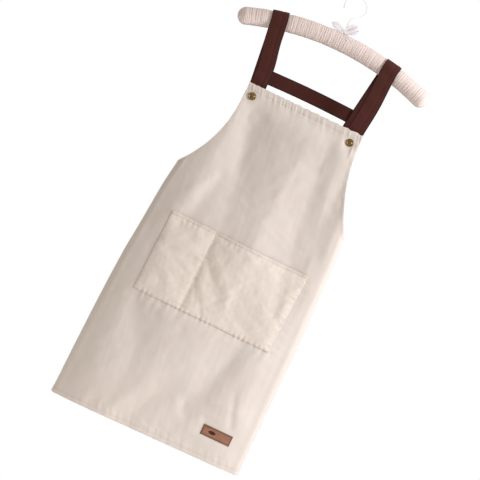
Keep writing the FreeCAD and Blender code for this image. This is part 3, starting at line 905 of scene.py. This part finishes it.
# %% [markdown]
# ## Stitches
# A stitch repeats hundreds of times along a path, which is what Geometry Nodes are for. The tree takes a
# mesh of edges as the path, sets points along it at the stitch pitch, puts a small lens-shaped thread on
# each point, turned along the path, and joins them into one mesh. The same tree serves every seam.


# %% A tree that sews along a path
def sewing_tree():
    tree = bpy.data.node_groups.new("sew_along", "GeometryNodeTree")
    face = tree.interface
    face.new_socket("Path", in_out="INPUT", socket_type="NodeSocketGeometry")
    for name, default in (("Pitch", 0.003), ("Stitch length", 0.002), ("Thread width", 0.0005)):
        socket = face.new_socket(name, in_out="INPUT", socket_type="NodeSocketFloat")
        socket.default_value = default
    face.new_socket("Thread", in_out="INPUT", socket_type="NodeSocketMaterial")
    face.new_socket("Stitches", in_out="OUTPUT", socket_type="NodeSocketGeometry")
    maker = Maker(tree)
    given = maker.add("NodeGroupInput").outputs
    line = maker.add("GeometryNodeMeshToCurve", None, {"Mesh": given["Path"]})
    spots = maker.add(
        "GeometryNodeCurveToPoints", {"mode": "LENGTH"}, {"Curve": line.outputs[0], "Length": given["Pitch"]}
    )
    bead = maker.add("GeometryNodeMeshUVSphere", None, {"Segments": 6, "Rings": 4, "Radius": 0.5})
    turned = maker.add(
        "FunctionNodeAlignRotationToVector", {"axis": "X"}, {"Vector": spots.outputs["Tangent"]}
    )
    thread = given["Thread width"]
    size = maker.add("ShaderNodeCombineXYZ", None, {0: given["Stitch length"], 1: thread, 2: thread})
    sewn = maker.add(
        "GeometryNodeInstanceOnPoints",
        None,
        {
            "Points": spots.outputs["Points"],
            "Instance": bead.outputs["Mesh"],
            "Rotation": turned.outputs[0],
            "Scale": size.outputs[0],
        },
    )
    joined = maker.add("GeometryNodeRealizeInstances", None, {0: sewn.outputs[0]})
    smooth = maker.add("GeometryNodeSetShadeSmooth", None, {0: joined.outputs[0]})
    coloured = maker.add(
        "GeometryNodeSetMaterial", None, {"Geometry": smooth.outputs[0], "Material": given["Thread"]}
    )
    maker.add("NodeGroupOutput", None, {0: coloured.outputs[0]})
    return tree


SEWING = sewing_tree()


def set_inputs(modifier, values):
    """Sets a tree's inputs by name, through their identifiers."""
    for item in modifier.node_group.interface.items_tree:
        if item.item_type == "SOCKET" and item.in_out == "INPUT" and item.name in values:
            modifier[item.identifier] = values[item.name]


def made_by(tree, name, start_mesh, values):
    """Runs a tree once on a start mesh and keeps the result as a plain mesh."""
    piece = bpy.data.objects.new(name, start_mesh)
    bpy.context.scene.collection.objects.link(piece)
    modifier = piece.modifiers.new("maker", "NODES")
    modifier.node_group = tree
    set_inputs(modifier, values)
    evaluated = piece.evaluated_get(bpy.context.evaluated_depsgraph_get())
    result = bpy.data.meshes.new_from_object(evaluated)
    piece.modifiers.clear()
    piece.data = result
    result.name = name
    return piece


def sew(name, paths, thread, body="apron", pitch=3.2, stitch=2.3, width=0.55):
    """One piece with the stitches of several paths, each an array of points in millimetres."""
    points = np.concatenate(paths)
    edges, first = [], 0
    for path in paths:
        edges += [(first + i, first + i + 1) for i in range(len(path) - 1)]
        first += len(path)
    mesh = bpy.data.meshes.new(name)
    mesh.from_pydata((points * MM).tolist(), edges, [])
    sizes = {"Pitch": pitch * MM, "Stitch length": stitch * MM, "Thread width": width * MM, "Thread": thread}
    piece = made_by(SEWING, name, mesh, sizes)
    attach(piece, body)
    print(name, len(piece.data.polygons) // 24, "stitches")
    return piece


# %% Sew the panel and the pocket
def across_front(inside, from_top, margin, count=260):
    """A row of stitches across the front, that far inside the top or the bottom edge."""
    z = BIB_TOP - inside if from_top else HEM + inside
    left, right = cut_edge(-1, np.array(z)), cut_edge(1, np.array(z))
    p = np.linspace(-left + margin, right - margin, count)
    return cloth_point(p, np.full(count, z), 0.1)


def along_edge(side, inside, z_high, z_low):
    """A row of stitches down a cut edge, that far inside it."""
    z = np.linspace(z_high, z_low, 160)
    return cloth_point(side * (cut_edge(side, z) - inside), z, 0.1)


bib_rows = [across_front(BIB_HEM_HEIGHT - STITCH_IN, True, 2.0)]
hem_rows = [across_front(HEM_HEIGHT - STITCH_IN, False, 2.0, 700)]
edge_rows = [along_edge(s, EDGE_HEM - STITCH_IN, BIB_TOP - 2, WAIST_CORNER) for s in (-1, 1)]
edge_rows += [along_edge(s, EDGE_HEM - STITCH_IN, WAIST_CORNER, HEM + 2) for s in (-1, 1)]
sew("stitches_bib_hem", bib_rows, cream_thread)
sew("stitches_hem", hem_rows, cream_thread)
sew("stitches_edges", edge_rows, cream_thread)


def pocket_row(u=None, v=None, count=200):
    """A row of stitches on the pocket, down it at u or across it at v."""
    t = np.linspace(0.01, 0.99, count)
    us = np.full(count, u) if u is not None else 2 * t
    vs = np.full(count, v) if v is not None else t
    return pocket_point(us, vs, 0.1)


small_width = DIVIDER[0] - pocket_low[0]
large_width = pocket_high[0] - DIVIDER[0]
pocket_rows = [
    pocket_row(u=SEAM_IN / small_width),
    pocket_row(u=1 - 0.8 / small_width),
    pocket_row(u=2 - SEAM_IN / large_width),
    pocket_row(v=1 - SEAM_IN / POCKET_DEEP),
    pocket_row(v=(MOUTH_HEM - MOUTH_STITCH_IN) / POCKET_DEEP, count=300),
]
sew("stitches_pocket", pocket_rows, cream_thread, pitch=3.0, stitch=2.1)


# %% [markdown]
# ## Straps
# Each strap is one folded band of twill. It starts behind the bib, goes over the padded bar and comes down
# the back. A bevelled curve would give a band too, but one that twists where the path turns. Here the
# closed section is carried along with its own direction across, which stays along the bar and then level.
# Twill folded and pressed keeps a soft crown and dips along its stitching. Its long folded edges get painted
# shade through the `seam` attribute, which makes them the darkest thing on the apron.

# %% A band along a path
STRAP_W, STRAP_T = 34.0, 1.5
STRAP_GAP = 1.3
STRAP_STITCH, CROSS_STITCH = 13.5, 11.5
CORE_HALF = 10.0
BAR_R = (bar_high[2] - place("hanger_core")[1][2]) + CORE_HALF
SADDLE_R = BAR_R + STRAP_GAP + STRAP_T / 2


def smooth_path(points, passes=2):
    """Rounds the corners of a row of points a little."""
    for _ in range(passes):
        inner = (points[:-2] + 2 * points[1:-1] + points[2:]) / 4
        points = np.concatenate([points[:1], inner, points[-1:]])
    return points


def unit(v):
    """Arrows made one unit long."""
    return v / np.linalg.norm(v, axis=-1, keepdims=True)


def together(*parts):
    """Arrays of one grid, side by side as the coordinates of its points."""
    return np.stack(np.broadcast_arrays(*parts), axis=-1)


def across_of(piece):
    """How far each point of a piece is across its UV map, in millimetres."""
    corners = np.zeros(len(piece.data.loops), np.int32)
    piece.data.loops.foreach_get("vertex_index", corners)
    flat = np.zeros(len(piece.data.loops) * 2)
    piece.data.uv_layers[0].data.foreach_get("uv", flat)
    across = np.zeros(len(piece.data.vertices))
    across[corners] = flat[::2] / MM
    return across


def band_section(width, thickness, columns=18):
    """Half width shares and heights round a flat band with rounded edges."""
    w = np.linspace(-1, 1, columns) * (width / 2 - 0.5)
    edge = np.array([width / 2 - 0.12, width / 2, width / 2 - 0.12])
    h = thickness / 2
    ws = np.concatenate([w, edge, w[::-1], -edge[::-1]])
    edge_h = np.array([h * 0.6, 0, -h * 0.6])
    hs = np.concatenate([np.full(columns, h), edge_h, np.full(columns, -h), -edge_h])
    return ws, hs


def band(name, centres, across, width, thickness, relief):
    """A closed band, its length, and the line along its outer face at a place across.

    Relief gives how far both faces stand out at a length and a place across.
    """
    along = unit(np.gradient(centres, axis=0))
    outward = unit(np.cross(across, along))
    travelled = np.concatenate([[0], np.cumsum(np.linalg.norm(np.diff(centres, axis=0), axis=1))])
    ws, hs = band_section(width, thickness)
    lift = relief(travelled[:, None], ws[None, :]) + hs[None, :]
    points = centres[:, None] + across[:, None] * ws[None, :, None] + outward[:, None] * lift[..., None]
    piece = closed_piece(name, points, together(ws[None, :], travelled[:, None]))
    # painted shade along the band's folded edges, near black on the brown twill
    set_attribute(piece, "seam", 0.7 * bell((width / 2 - np.abs(across_of(piece))) / 1.6))
    print(name, "is", round(travelled[-1]), "mm long")

    def face_line(w, above):
        """The line along the outer face at w across, that far above it."""
        stand = relief(travelled[:, None], np.array([[w]])) + thickness / 2 + above
        return centres + across * w + outward * stand

    return piece, travelled[-1], face_line


# %% The padded bar's line and the straps' paths
ARCH_DROP = 33.5
HALF_CHORD = -bar_low[0] - BAR_R
ARCH_R = (HALF_CHORD**2 + ARCH_DROP**2) / (2 * ARCH_DROP)
BAR_Z = BAR_TOP - BAR_R
cross_low, cross_high = place("cross_strap")
STRAP_AT_BAR = {"left": 124.0, "right": 117.5}
STRAP_AT_CROSS = {"left": 108.0, "right": 98.0}
STRAP_AT_BIB, STRAP_AT_CORNER = 108.0, 91.0
STRAP_TAIL = 36
STRAP_BEND = {"left": (4.5, -205, 36), "right": (3.0, -185, 50)}


def bar_line(x):
    """Centre of the padded bar at x, and the direction along it."""
    angle = np.arcsin(x / ARCH_R)
    centre = np.array([x, 0, BAR_Z - ARCH_R + ARCH_R * np.cos(angle)])
    return centre, np.array([np.cos(angle), 0, -np.sin(angle)])


def strap_path(side, name):
    """Points along a strap's middle, and the directions across it."""
    centre, along = bar_line(MIDDLE + side * STRAP_AT_BAR[name])
    bib_x = MIDDLE + side * STRAP_AT_BIB
    corner_x = MIDDLE + side * STRAP_AT_CORNER
    y = SADDLE_R
    back_y = place(f"strap_{name}")[1][1] - STRAP_T / 2
    level_z = cross_low[2] - 8
    level_x = MIDDLE + side * STRAP_AT_CROSS[name]
    flat = np.array([1.0, 0, 0])
    rising = [
        ([bib_x, -y, STRAP_END], flat),
        ([bib_x, -y, BIB_TOP], flat),
        ([centre[0], -y, centre[2]], along),
    ]
    falling = [
        ([centre[0], y, centre[2]], along),
        ([level_x, y, level_z], flat),
        ([corner_x, back_y, WAIST_CORNER], flat),
        ([corner_x, back_y, WAIST_CORNER - STRAP_TAIL], flat),
    ]
    points, across = [], []

    def straight(first, last, count):
        for t in np.linspace(0, 1, count, endpoint=False):
            points.append(np.array(first[0]) * (1 - t) + np.array(last[0]) * t)
            across.append(first[1] * (1 - t) + last[1] * t)

    straight(rising[0], rising[1], 12)
    straight(rising[1], rising[2], 44)
    up = np.cross(along, [0, 1.0, 0])
    for turn in np.linspace(0, math.pi, 26, endpoint=False):
        points.append(centre + y * (np.array([0, -math.cos(turn), 0]) + up * math.sin(turn)))
        across.append(along)
    straight(falling[0], falling[1], 30)
    straight(falling[1], falling[2], 60)
    straight(falling[2], falling[3], 14)
    points.append(np.array(falling[3][0]))
    across.append(flat)
    points, across = np.array(points), np.array(across)
    in_front = points[:, 1] < 0
    shift, at, spread = STRAP_BEND[name]
    points[:, 0] += in_front * shift * bell((points[:, 2] - at) / spread)
    return smooth_path(points), unit(smooth_path(across))


def strap_relief(seed):
    """Crown, stitched dips and slow ripples of a strap."""

    def relief(travelled, w):
        crown = 0.25 * (1 - (w / (STRAP_W / 2)) ** 2)
        dips = -0.3 * bell((np.abs(w) - STRAP_STITCH) / 1.2)
        crease = -0.45 * bell((w - 3.5 - 1.5 * np.sin(travelled / 70)) / 2.0)
        ripple = 0.35 * uneven(travelled + 6 * np.sin(w / 9), 38.0, seed)
        return crown + dips + crease + ripple

    return relief


# %% Make the straps and the cross band
strap_rows = []
for side, name in ((-1, "left"), (1, "right")):
    centres, across = strap_path(side, name)
    relief = strap_relief(60 + side)
    strap, strap_long, face_line = band(f"strap_cloth_{name}", centres, across, STRAP_W, STRAP_T, relief)
    strap.data.materials.append(strap_cloth)
    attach(strap, "apron")
    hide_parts(f"strap_{name}")
    strap_long * MM
    strap_rows += [face_line(w, 0.05) for w in (-STRAP_STITCH, STRAP_STITCH)]

cross_x = np.linspace(cross_low[0], cross_high[0], 70)
cross_share = (cross_x - cross_low[0]) / (cross_high[0] - cross_low[0])
cross_arch = np.sin(np.pi * cross_share)
cross_y = (cross_low[1] + cross_high[1]) / 2 + 1.2 * cross_arch
cross_z = (cross_low[2] + cross_high[2]) / 2 + 1.5 + 2.5 * cross_arch
CROSS_W = cross_high[2] - cross_low[2]
centres = np.stack([cross_x, cross_y, cross_z], axis=1)
downward = np.tile([0.0, 0, -1.0], (len(cross_x), 1))
cross_band, cross_long, face_line = band(
    "cross_band", centres, downward, CROSS_W, STRAP_T, strap_relief(63)
)
cross_band.data.materials.append(strap_cloth)
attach(cross_band, "apron")
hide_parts("cross_strap")
cross_long * MM
strap_rows += [face_line(w, 0.05) for w in (-CROSS_STITCH, CROSS_STITCH)]
sew("stitches_straps", strap_rows, brown_thread, pitch=3.4, stitch=2.6, width=0.5)

# %% [markdown]
# ## Gathered covers
# Each half of the hanger has a cloth tube drawn up over its padding, with dozens of small pleats running
# round it. That follows a rule, so the cover is grown by Geometry Nodes: a flat grid is bent along the arch
# and closed to a round tip, and a noise that is tight along the bar and slow around it gives the gathers. A
# strap presses them flat where it lies. Shade is painted through the `seam` attribute: darker on the
# underside, as the bar hides it from the light, and a little darker between the pleats than on their crests.

# %% A tree that bends a grid into a gathered tube
COVER_INPUTS = {
    "Side": 1.0,
    "Arch radius": 0.571,
    "Arch centre": -0.667,
    "Straight": 0.196,
    "Radius": 0.0175,
    "Gather spacing": 0.0036,
    "Gather depth": 0.0011,
    "Seed": 1.0,
    "Pressed at": 0.12,
    "Pressed half width": 0.0215,
}


def cover_tree():
    tree = bpy.data.node_groups.new("gathered_cover", "GeometryNodeTree")
    face = tree.interface
    for name, default in COVER_INPUTS.items():
        face.new_socket(name, in_out="INPUT", socket_type="NodeSocketFloat").default_value = default
    face.new_socket("Cloth", in_out="INPUT", socket_type="NodeSocketMaterial")
    face.new_socket("Cover", in_out="OUTPUT", socket_type="NodeSocketGeometry")
    maker = Maker(tree)
    given = maker.add("NodeGroupInput").outputs
    numbers = [Value(maker, given[name]) for name in COVER_INPUTS]
    side, arch, centre, straight, radius, spacing, depth, seed, pressed_at, pressed_half = numbers
    grid_size = {"Size X": 1, "Size Y": 1, "Vertices X": 290, "Vertices Y": 97}
    grid = maker.add("GeometryNodeMeshGrid", None, grid_size)
    spot = maker.add("GeometryNodeInputPosition").outputs[0]
    flat = maker.add("ShaderNodeSeparateXYZ", None, {0: spot})
    a, b = (Value(maker, flat.outputs[i]) + 0.5 for i in (0, 1))
    travel = a * (straight + radius * (math.pi / 2))
    tip = (travel - straight).math("MAXIMUM", 0.0) / radius
    angle = travel.math("MINIMUM", straight) / arch
    turn = b * (2 * math.pi)
    up, out = turn.math("COSINE"), turn.math("SINE")
    tight_along = {0: travel / spacing, 1: up * 0.28 + seed, 2: out * 0.28}
    around = maker.add("ShaderNodeCombineXYZ", None, tight_along)
    pleat = maker.noise(around.outputs[0], 1.0, 2.0, 0.6)
    broad = maker.noise(around.outputs[0], 0.22, 1.0)
    ridge = (pleat - 0.5).math("ABSOLUTE") * -3.0 + 0.8
    rib = ((travel / spacing + broad * 3.0 + pleat * 0.5) * (2 * math.pi)).math("SINE")
    middle_pinch = (travel * -700.0).math("EXPONENT")
    from_strap = (travel - pressed_at).math("ABSOLUTE") / pressed_half
    under_strap = (from_strap.math("POWER", 8.0) * -1).math("EXPONENT")
    upper = ((up + 0.6) / 0.4).math("MAXIMUM", 0.0).math("MINIMUM", 1.0)
    pressed = under_strap * upper
    gathers = (ridge * 0.75 + rib * 0.13 + broad * 1.2 - 0.5) * depth
    relief = gathers * (1 - pressed) - pressed * 0.0003 - middle_pinch * 0.0002
    thick = (radius + relief) * tip.math("COSINE")
    ahead = radius * tip.math("SINE")
    reach = arch + thick * up
    x = (reach * angle.math("SINE") + ahead * angle.math("COSINE") + 0.0001) * side
    z = centre + reach * angle.math("COSINE") - ahead * angle.math("SINE")
    bent = maker.add("ShaderNodeCombineXYZ", None, {0: x, 1: thick * out, 2: z})
    mapped = maker.add("ShaderNodeCombineXYZ", None, {0: turn * radius, 1: travel})
    stored = maker.add(
        "GeometryNodeStoreNamedAttribute",
        {"data_type": "FLOAT2", "domain": "CORNER"},
        {"Geometry": grid.outputs[0], "Name": "UVMap", "Value": mapped.outputs[0]},
    )
    # painted shade: darker on the underside, which the bar hides from the light, and a little darker between
    # the pleats
    underside = ((up * -1 - 0.72) / 0.28).math("MAXIMUM", 0.0)
    shaded = maker.add(
        "GeometryNodeStoreNamedAttribute",
        {"data_type": "FLOAT", "domain": "POINT"},
        {"Geometry": stored.outputs[0], "Name": "seam", "Value": underside * underside * 0.9 + ridge * -0.12},
    )
    shaped = maker.add(
        "GeometryNodeSetPosition", None, {"Geometry": shaded.outputs[0], "Position": bent.outputs[0]}
    )
    joined = maker.add(
        "GeometryNodeMergeByDistance", None, {"Geometry": shaped.outputs[0], "Distance": 0.00005}
    )
    smooth = maker.add("GeometryNodeSetShadeSmooth", None, {0: joined.outputs[0]})
    real = maker.add("GeometryNodeRealizeInstances", None, {0: smooth.outputs[0]})
    cloth = maker.add(
        "GeometryNodeSetMaterial", None, {"Geometry": real.outputs[0], "Material": given["Cloth"]}
    )
    maker.add("NodeGroupOutput", None, {0: cloth.outputs[0]})
    return tree


# %% Grow both covers
COVER = cover_tree()
COVER_IN, COVER_CLOTH = 0.3, 0.5
for side, name in ((-1.0, "left"), (1.0, "right")):
    sizes = {
        "Side": side,
        "Arch radius": ARCH_R * MM,
        "Arch centre": (BAR_Z - ARCH_R) * MM,
        "Straight": ARCH_R * math.asin(HALF_CHORD / ARCH_R) * MM,
        "Radius": (BAR_R - COVER_IN) * MM,
        "Gather spacing": 0.0043,
        "Gather depth": 0.0014,
        "Seed": 4.0 + side,
        "Pressed at": ARCH_R * math.asin(abs(MIDDLE + side * STRAP_AT_BAR[name]) / ARCH_R) * MM,
        "Cloth": cover_cloth,
    }
    cover = made_by(COVER, f"gathered_cover_{name}", bpy.data.meshes.new("start"), sizes)
    face_outwards(cover)
    thicken(cover, COVER_CLOTH)
    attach(cover, "hanger")
    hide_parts(f"cover_{name}")
    print(cover.name, len(cover.data.polygons), "faces")

# %% [markdown]
# ## Bow
# The bow at the foot of the hook is sheer ribbon: two loops, each a strip that goes out and comes back,
# held by a band, and a short end that lies on the bar. Ribbon creases where it is gathered, so the strips
# narrow towards the band and ripple there. Curves could carry them, but a grid lets each strip widen and
# ripple by formula.

# %% Loops and end
knot_low, knot_high = place("bow_knot")
BOW = (knot_low + knot_high) / 2
LOOP_BULGE = 2.6


def bow_loop(start, toward, reach, widths, seed, corner=0.15):
    """A strip of ribbon from the band out to one side and back behind itself, as a grid."""
    s = np.linspace(0.02, 0.98, 56)[:, None]
    c = np.linspace(-1, 1, 15)[None, :]
    ahead = unit(np.array([toward[0], 0, toward[1]]))
    wide = np.array([-ahead[2], 0, ahead[0]])
    out = np.sin(np.pi * s) ** 0.85
    half = np.interp(out, [0, 0.35, 0.75, 1], widths)
    go = reach * out * (1 - corner * c**2 * out)
    ripple = 0.7 * (1 - out) * np.sin(5.5 * c + seed) + 0.5 * uneven(c * 5 + s * 3, 4.0, seed)
    y = start[1] - LOOP_BULGE * np.sin(2 * np.pi * s) + ripple * np.sign(0.5 - s)
    droop = 0.6 * uneven(s * 8 + c, 5.0, seed + 1)
    sides = c * half
    x = start[0] + ahead[0] * go + wide[0] * sides
    z = start[2] + ahead[2] * go + wide[2] * sides + droop
    return together(x, y, z), together(sides, s * reach * 2)


def bow_end():
    """The loose end of the ribbon, lying slantwise on the bar's front."""
    s = np.linspace(0, 1, 30)[:, None]
    c = np.linspace(-1, 1, 13)[None, :]
    lean = np.radians(22 + 50 * s + 4 * c)
    r = BAR_R + 1.4 + 1.1 * np.abs(c + 0.1) - 0.5 * s
    x = 2.0 + 15 * s + 5.6 * c * (0.5 + 0.5 * s)
    bar_z = BAR_Z - ARCH_R + np.sqrt(ARCH_R**2 - x**2)
    y, z = -r * np.sin(lean), bar_z + r * np.cos(lean) + 1.5 * c
    return together(x, y, z), together(c * 5, s * 25)


def joined_strips(name, strips, thickness):
    """Several grids as one piece of cloth."""
    points, faces, uvs = [], [], []
    for grid, uv in strips:
        first = sum(len(p) for p in points)
        rows, columns = grid.shape[:2]
        faces += [[first + i for i in f] for f in grid_faces(rows, columns)]
        points.append(grid.reshape(-1, 3))
        uvs.append(uv.reshape(-1, 2))
    piece = new_piece(name, np.concatenate(points), faces, np.concatenate(uvs))
    thicken(piece, thickness)
    return piece


left_foot, right_foot = BOW + (-2, 0, -1), BOW + (1, 0, -1)
left_loop = bow_loop(left_foot, (-1, 0.28), 31, (3.0, 6.5, 6.0, 2.0), 71, corner=0.05)
right_loop = bow_loop(right_foot, (1, 0.95), 27, (3.5, 8.0, 10.5, 9.5), 74)
RIBBON_T = 0.3
bow = joined_strips("bow_loops", [left_loop, right_loop, bow_end()], RIBBON_T)
bow.data.materials.append(ribbon)
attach(bow, "hanger")
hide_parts("bow_ribbon")


# %% Band round the bow's middle
def pillow(low, high, rows=26, columns=40, square=0.62):
    """A closed rounded block between two corners, as rings from its foot to its top."""
    tall = np.linspace(-math.pi / 2 + 0.06, math.pi / 2 - 0.06, rows)[:, None]
    turn = np.linspace(0, 2 * math.pi, columns, endpoint=False)[None, :]

    def soft(v):
        return np.sign(v) * np.abs(v) ** square

    spread = soft(np.cos(tall))
    ball = together(spread * soft(np.cos(turn)), spread * soft(np.sin(turn)), soft(np.sin(tall)))
    return (low + high) / 2 + ball * (high - low) / 2


knot = pillow(knot_low, knot_high)
pleats = 0.35 * np.sin(knot[..., 0] * 2.6) * np.cos((knot[..., 2] - BOW[2]) / 5)
knot[..., 1] += pleats * np.sign(knot[..., 1] - BOW[1])
bow_band = closed_piece("bow_band", knot, knot[..., [0, 2]])
bow_band.data.materials.append(ribbon)
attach(bow_band, "hanger")
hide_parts("bow_knot")
print("bow", len(bow.data.polygons), "faces, band", len(bow_band.data.polygons))

# %% [markdown]
# ## Wrapped hook
# The wire is wound with the same pale ribbon, edge over edge, from the collar to past the ball at its tip.
# A bevelled curve would be a plain tube, so the rings are set round the hook's line one by one, and their
# radius steps once in every turn of the winding. Its finish is given a faint painted glow, though it is no
# lamp, so the white wrapping stays pale.

# %% Line of the hook
SLEEVE_R = 2.7
RAIL_R = 20.0
BEND_R = RAIL_R + SLEEVE_R
NECK_R = 14.0
TIP_ANGLE = 202
neck_turn = math.acos(NECK_R / (BEND_R + NECK_R))
neck_z = -RAIL_R - (BEND_R + NECK_R) * math.sin(neck_turn)
foot_z = place("hook_sleeve")[0][2]


def hook_line():
    """Points along the hook's middle from the shank's foot to the tip."""
    shank = [(0, z) for z in np.linspace(foot_z, neck_z, 40, endpoint=False)]
    neck = [
        (NECK_R * (1 - math.cos(t)), neck_z + NECK_R * math.sin(t))
        for t in np.linspace(0, neck_turn, 40, endpoint=False)
    ]
    bend = [
        (BEND_R * math.cos(t), -RAIL_R + BEND_R * math.sin(t))
        for t in np.linspace(-neck_turn, math.radians(TIP_ANGLE), 200)
    ]
    return np.array([(x, 0, z) for x, z in shank + neck + bend])


line = hook_line()
gone = np.concatenate([[0], np.cumsum(np.linalg.norm(np.diff(line, axis=0), axis=1))])
even = np.linspace(0, gone[-1], 380)
line = np.stack([np.interp(even, gone, line[:, i]) for i in range(3)], axis=1)
ahead = unit(np.gradient(line, axis=0))
sideways = np.cross(ahead, [0, 1.0, 0])
turn = np.linspace(0, 2 * math.pi, 24, endpoint=False)[None, :]


# %% Wind the ribbon round it
def rings_round(centres, out, radii):
    """A ring of points round each centre, between the direction out and Y."""
    way = out[:, None] * np.cos(turn)[..., None] + np.array([0, 1.0, 0]) * np.sin(turn)[..., None]
    return centres[:, None] + radii[..., None] * way


WRAP_PITCH = 6.5
TIP_LONG = 3.3
wound = np.mod(even[:, None] / WRAP_PITCH + turn / (2 * math.pi), 1)
wrap_r = SLEEVE_R - 0.12 + 0.28 * wound**2 - 0.28 * bell((wound - 1) / 0.06)
wrap_r = wrap_r + 0.75 * bell((even[:, None] - gone[-1]) / 3.0)
tip_steps = np.linspace(0.1, 0.98, 8)
tip_line = line[-1] + ahead[-1] * (TIP_LONG * tip_steps)[:, None]
tip_r = wrap_r[-1] * np.sqrt(1 - tip_steps**2)[:, None]
rings = [rings_round(line, sideways, wrap_r), rings_round(tip_line, sideways[-1:], tip_r)]
down_wire = np.concatenate([even, even[-1] + TIP_LONG * tip_steps])
spiral_uv = together(turn * SLEEVE_R, down_wire[:, None])
sleeve = closed_piece("wrapped_sleeve", np.concatenate(rings), spiral_uv)
PALE = rgb(255, 254, 253), rgb(250, 248, 247), rgb(240, 237, 237)
wrap_cloth = woven("wrapping_ribbon", PALE, 0.0006, 0.00003, 0.3, 0.8, 1.0, 0.3)
wrap_surface = wrap_cloth.node_tree.nodes["Principled BSDF"]
# painted glow: the wrapping shines a little though it is no lamp
wrap_surface.inputs["Emission Color"].default_value = (1, 1, 1, 1)
wrap_surface.inputs["Emission Strength"].default_value = 0.3
sleeve.data.materials.append(wrap_cloth)
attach(sleeve, "hook")
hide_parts("hook_sleeve")
print("wrapped hook", round(even[-1]), "mm of wire covered")

# %% [markdown]
# ## Snap caps
# A snap's cap is pressed brass: a raised ring, a groove and a low dome. It is round, so a profile of a few
# points turned round its axis gives all of it.

# %% Turn a profile
CAP_BACK = [(0.02, 0.1), (5.0, 0.05), (7.3, 0.1)]
CAP_RING = [(7.85, 0.35), (8.0, 0.8), (7.9, 1.25), (7.5, 1.7), (6.9, 1.95), (6.3, 1.9)]
CAP_GROOVE = [(5.7, 1.5), (5.35, 1.05), (5.0, 0.95), (4.7, 1.15)]
CAP_DOME = [(4.3, 1.6), (3.6, 1.95), (2.4, 2.15), (1.2, 2.2), (0.02, 2.2)]
CAP_LIFT = 0.1


def turned(name, centre, profile, columns=48):
    """A closed form turned round an axis along Y, from pairs of a radius and a height towards -Y."""
    points = np.array(profile)
    t = np.linspace(0, 2 * math.pi, columns, endpoint=False)[None, :]
    r, h = points[:, 0][:, None], points[:, 1][:, None]
    return closed_piece(name, together(centre[0] + r * np.cos(t), centre[1] - h, centre[2] + r * np.sin(t)))


# %% Both caps
cap_profile = CAP_BACK + CAP_RING + CAP_GROOVE + CAP_DOME
for name, cap_x, (cap_low, _) in zip(("left", "right"), SNAPS, cap_boxes):
    cap = turned(f"snap_top_{name}", (cap_x, FRONT - CAP_LIFT, SNAP_Z), cap_profile)
    cap.data.materials.append(brass)
    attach(cap, "apron")
    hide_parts(f"snap_cap_{name}")
    print(cap.name, "front at", round(cap_low[1], 2))

# %% [markdown]
# ## Leather label
# A stiff strip of tanned leather, sewn flat on the cloth. A thin box would do on a table, but this one
# follows the cloth under it, so it is a grid laid on the panel's formula. Its cut edge is burnished darker,
# and a plain oval is pressed into it where a maker would stamp a mark. Both are vertex attributes, which
# shape the relief and colour the leather.

# %% Label
LABEL_T = 1.3
lx = np.linspace(label_low[0], label_high[0], 96)
lz = np.linspace(label_high[2], label_low[2], 36)
LX, LZ = np.meshgrid(lx, lz)
label_middle = (label_low + label_high) / 2
from_ends = np.minimum(LX - label_low[0], label_high[0] - LX)
from_sides = np.minimum(LZ - label_low[2], label_high[2] - LZ)
to_edge = np.minimum(from_ends, from_sides)
MARK_IN, MARK_WIDE, MARK_TALL = 21.5, 7.5, 3.6
oval = np.sqrt(((LX - label_low[0] - MARK_IN) / MARK_WIDE) ** 2 + ((LZ - label_middle[2]) / MARK_TALL) ** 2)
mark_ring = np.clip(rise((1.15 - oval) / 0.3) - 0.25 * bell((oval - 0.5) / 0.16), 0, 1)
under = cloth_point(LX - MIDDLE, LZ - hem_slant(LX, LZ))
stand = LABEL_T - 0.5 * bell(to_edge / 0.9) - 0.25 * bell((to_edge - 2.4) / 0.5) - 0.35 * mark_ring
label_grid = under.copy()
label_grid[..., 1] -= stand
label_uv = label_grid[..., [0, 2]].reshape(-1, 2)
label = new_piece("label_leather", label_grid.reshape(-1, 3), grid_faces(*LX.shape), label_uv)
set_attribute(label, "edge", np.clip(bell(to_edge / 2.4) + 0.5 * bell(to_edge / 4.4), 0, 1))
set_attribute(label, "mark", mark_ring)
thicken(label, LABEL_T)
label.data.materials.append(leather)
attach(label, "apron")
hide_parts("label_patch")
print("label", np.round(label_high - label_low, 1), "mm")


def on_label(x, z):
    """Points just above the label's face."""
    points = cloth_point(x - MIDDLE, z - hem_slant(x, z))
    points[..., 1] -= LABEL_T - 0.2
    return points


INSET = 2.4
x0, x1 = label_low[0] + INSET, label_high[0] - INSET
z0, z1 = label_low[2] + INSET, label_high[2] - INSET
border = [(x0, z1, x1, z1), (x1, z1, x1, z0), (x1, z0, x0, z0), (x0, z0, x0, z1)]
border_rows = [on_label(np.linspace(a, c, 60), np.linspace(b, d, 60)) for a, b, c, d in border]
sew("stitches_label", border_rows, tan_thread, pitch=2.6, stitch=1.9, width=0.5)

# %% [markdown]
# ## What the cloth was cut from
# The panel's cut isn't a rectangle, so the widths of its rows are worked out from its cut edges.

row_widths = np.array([cut_edge(-1, z) + cut_edge(1, z) for z in row_z])
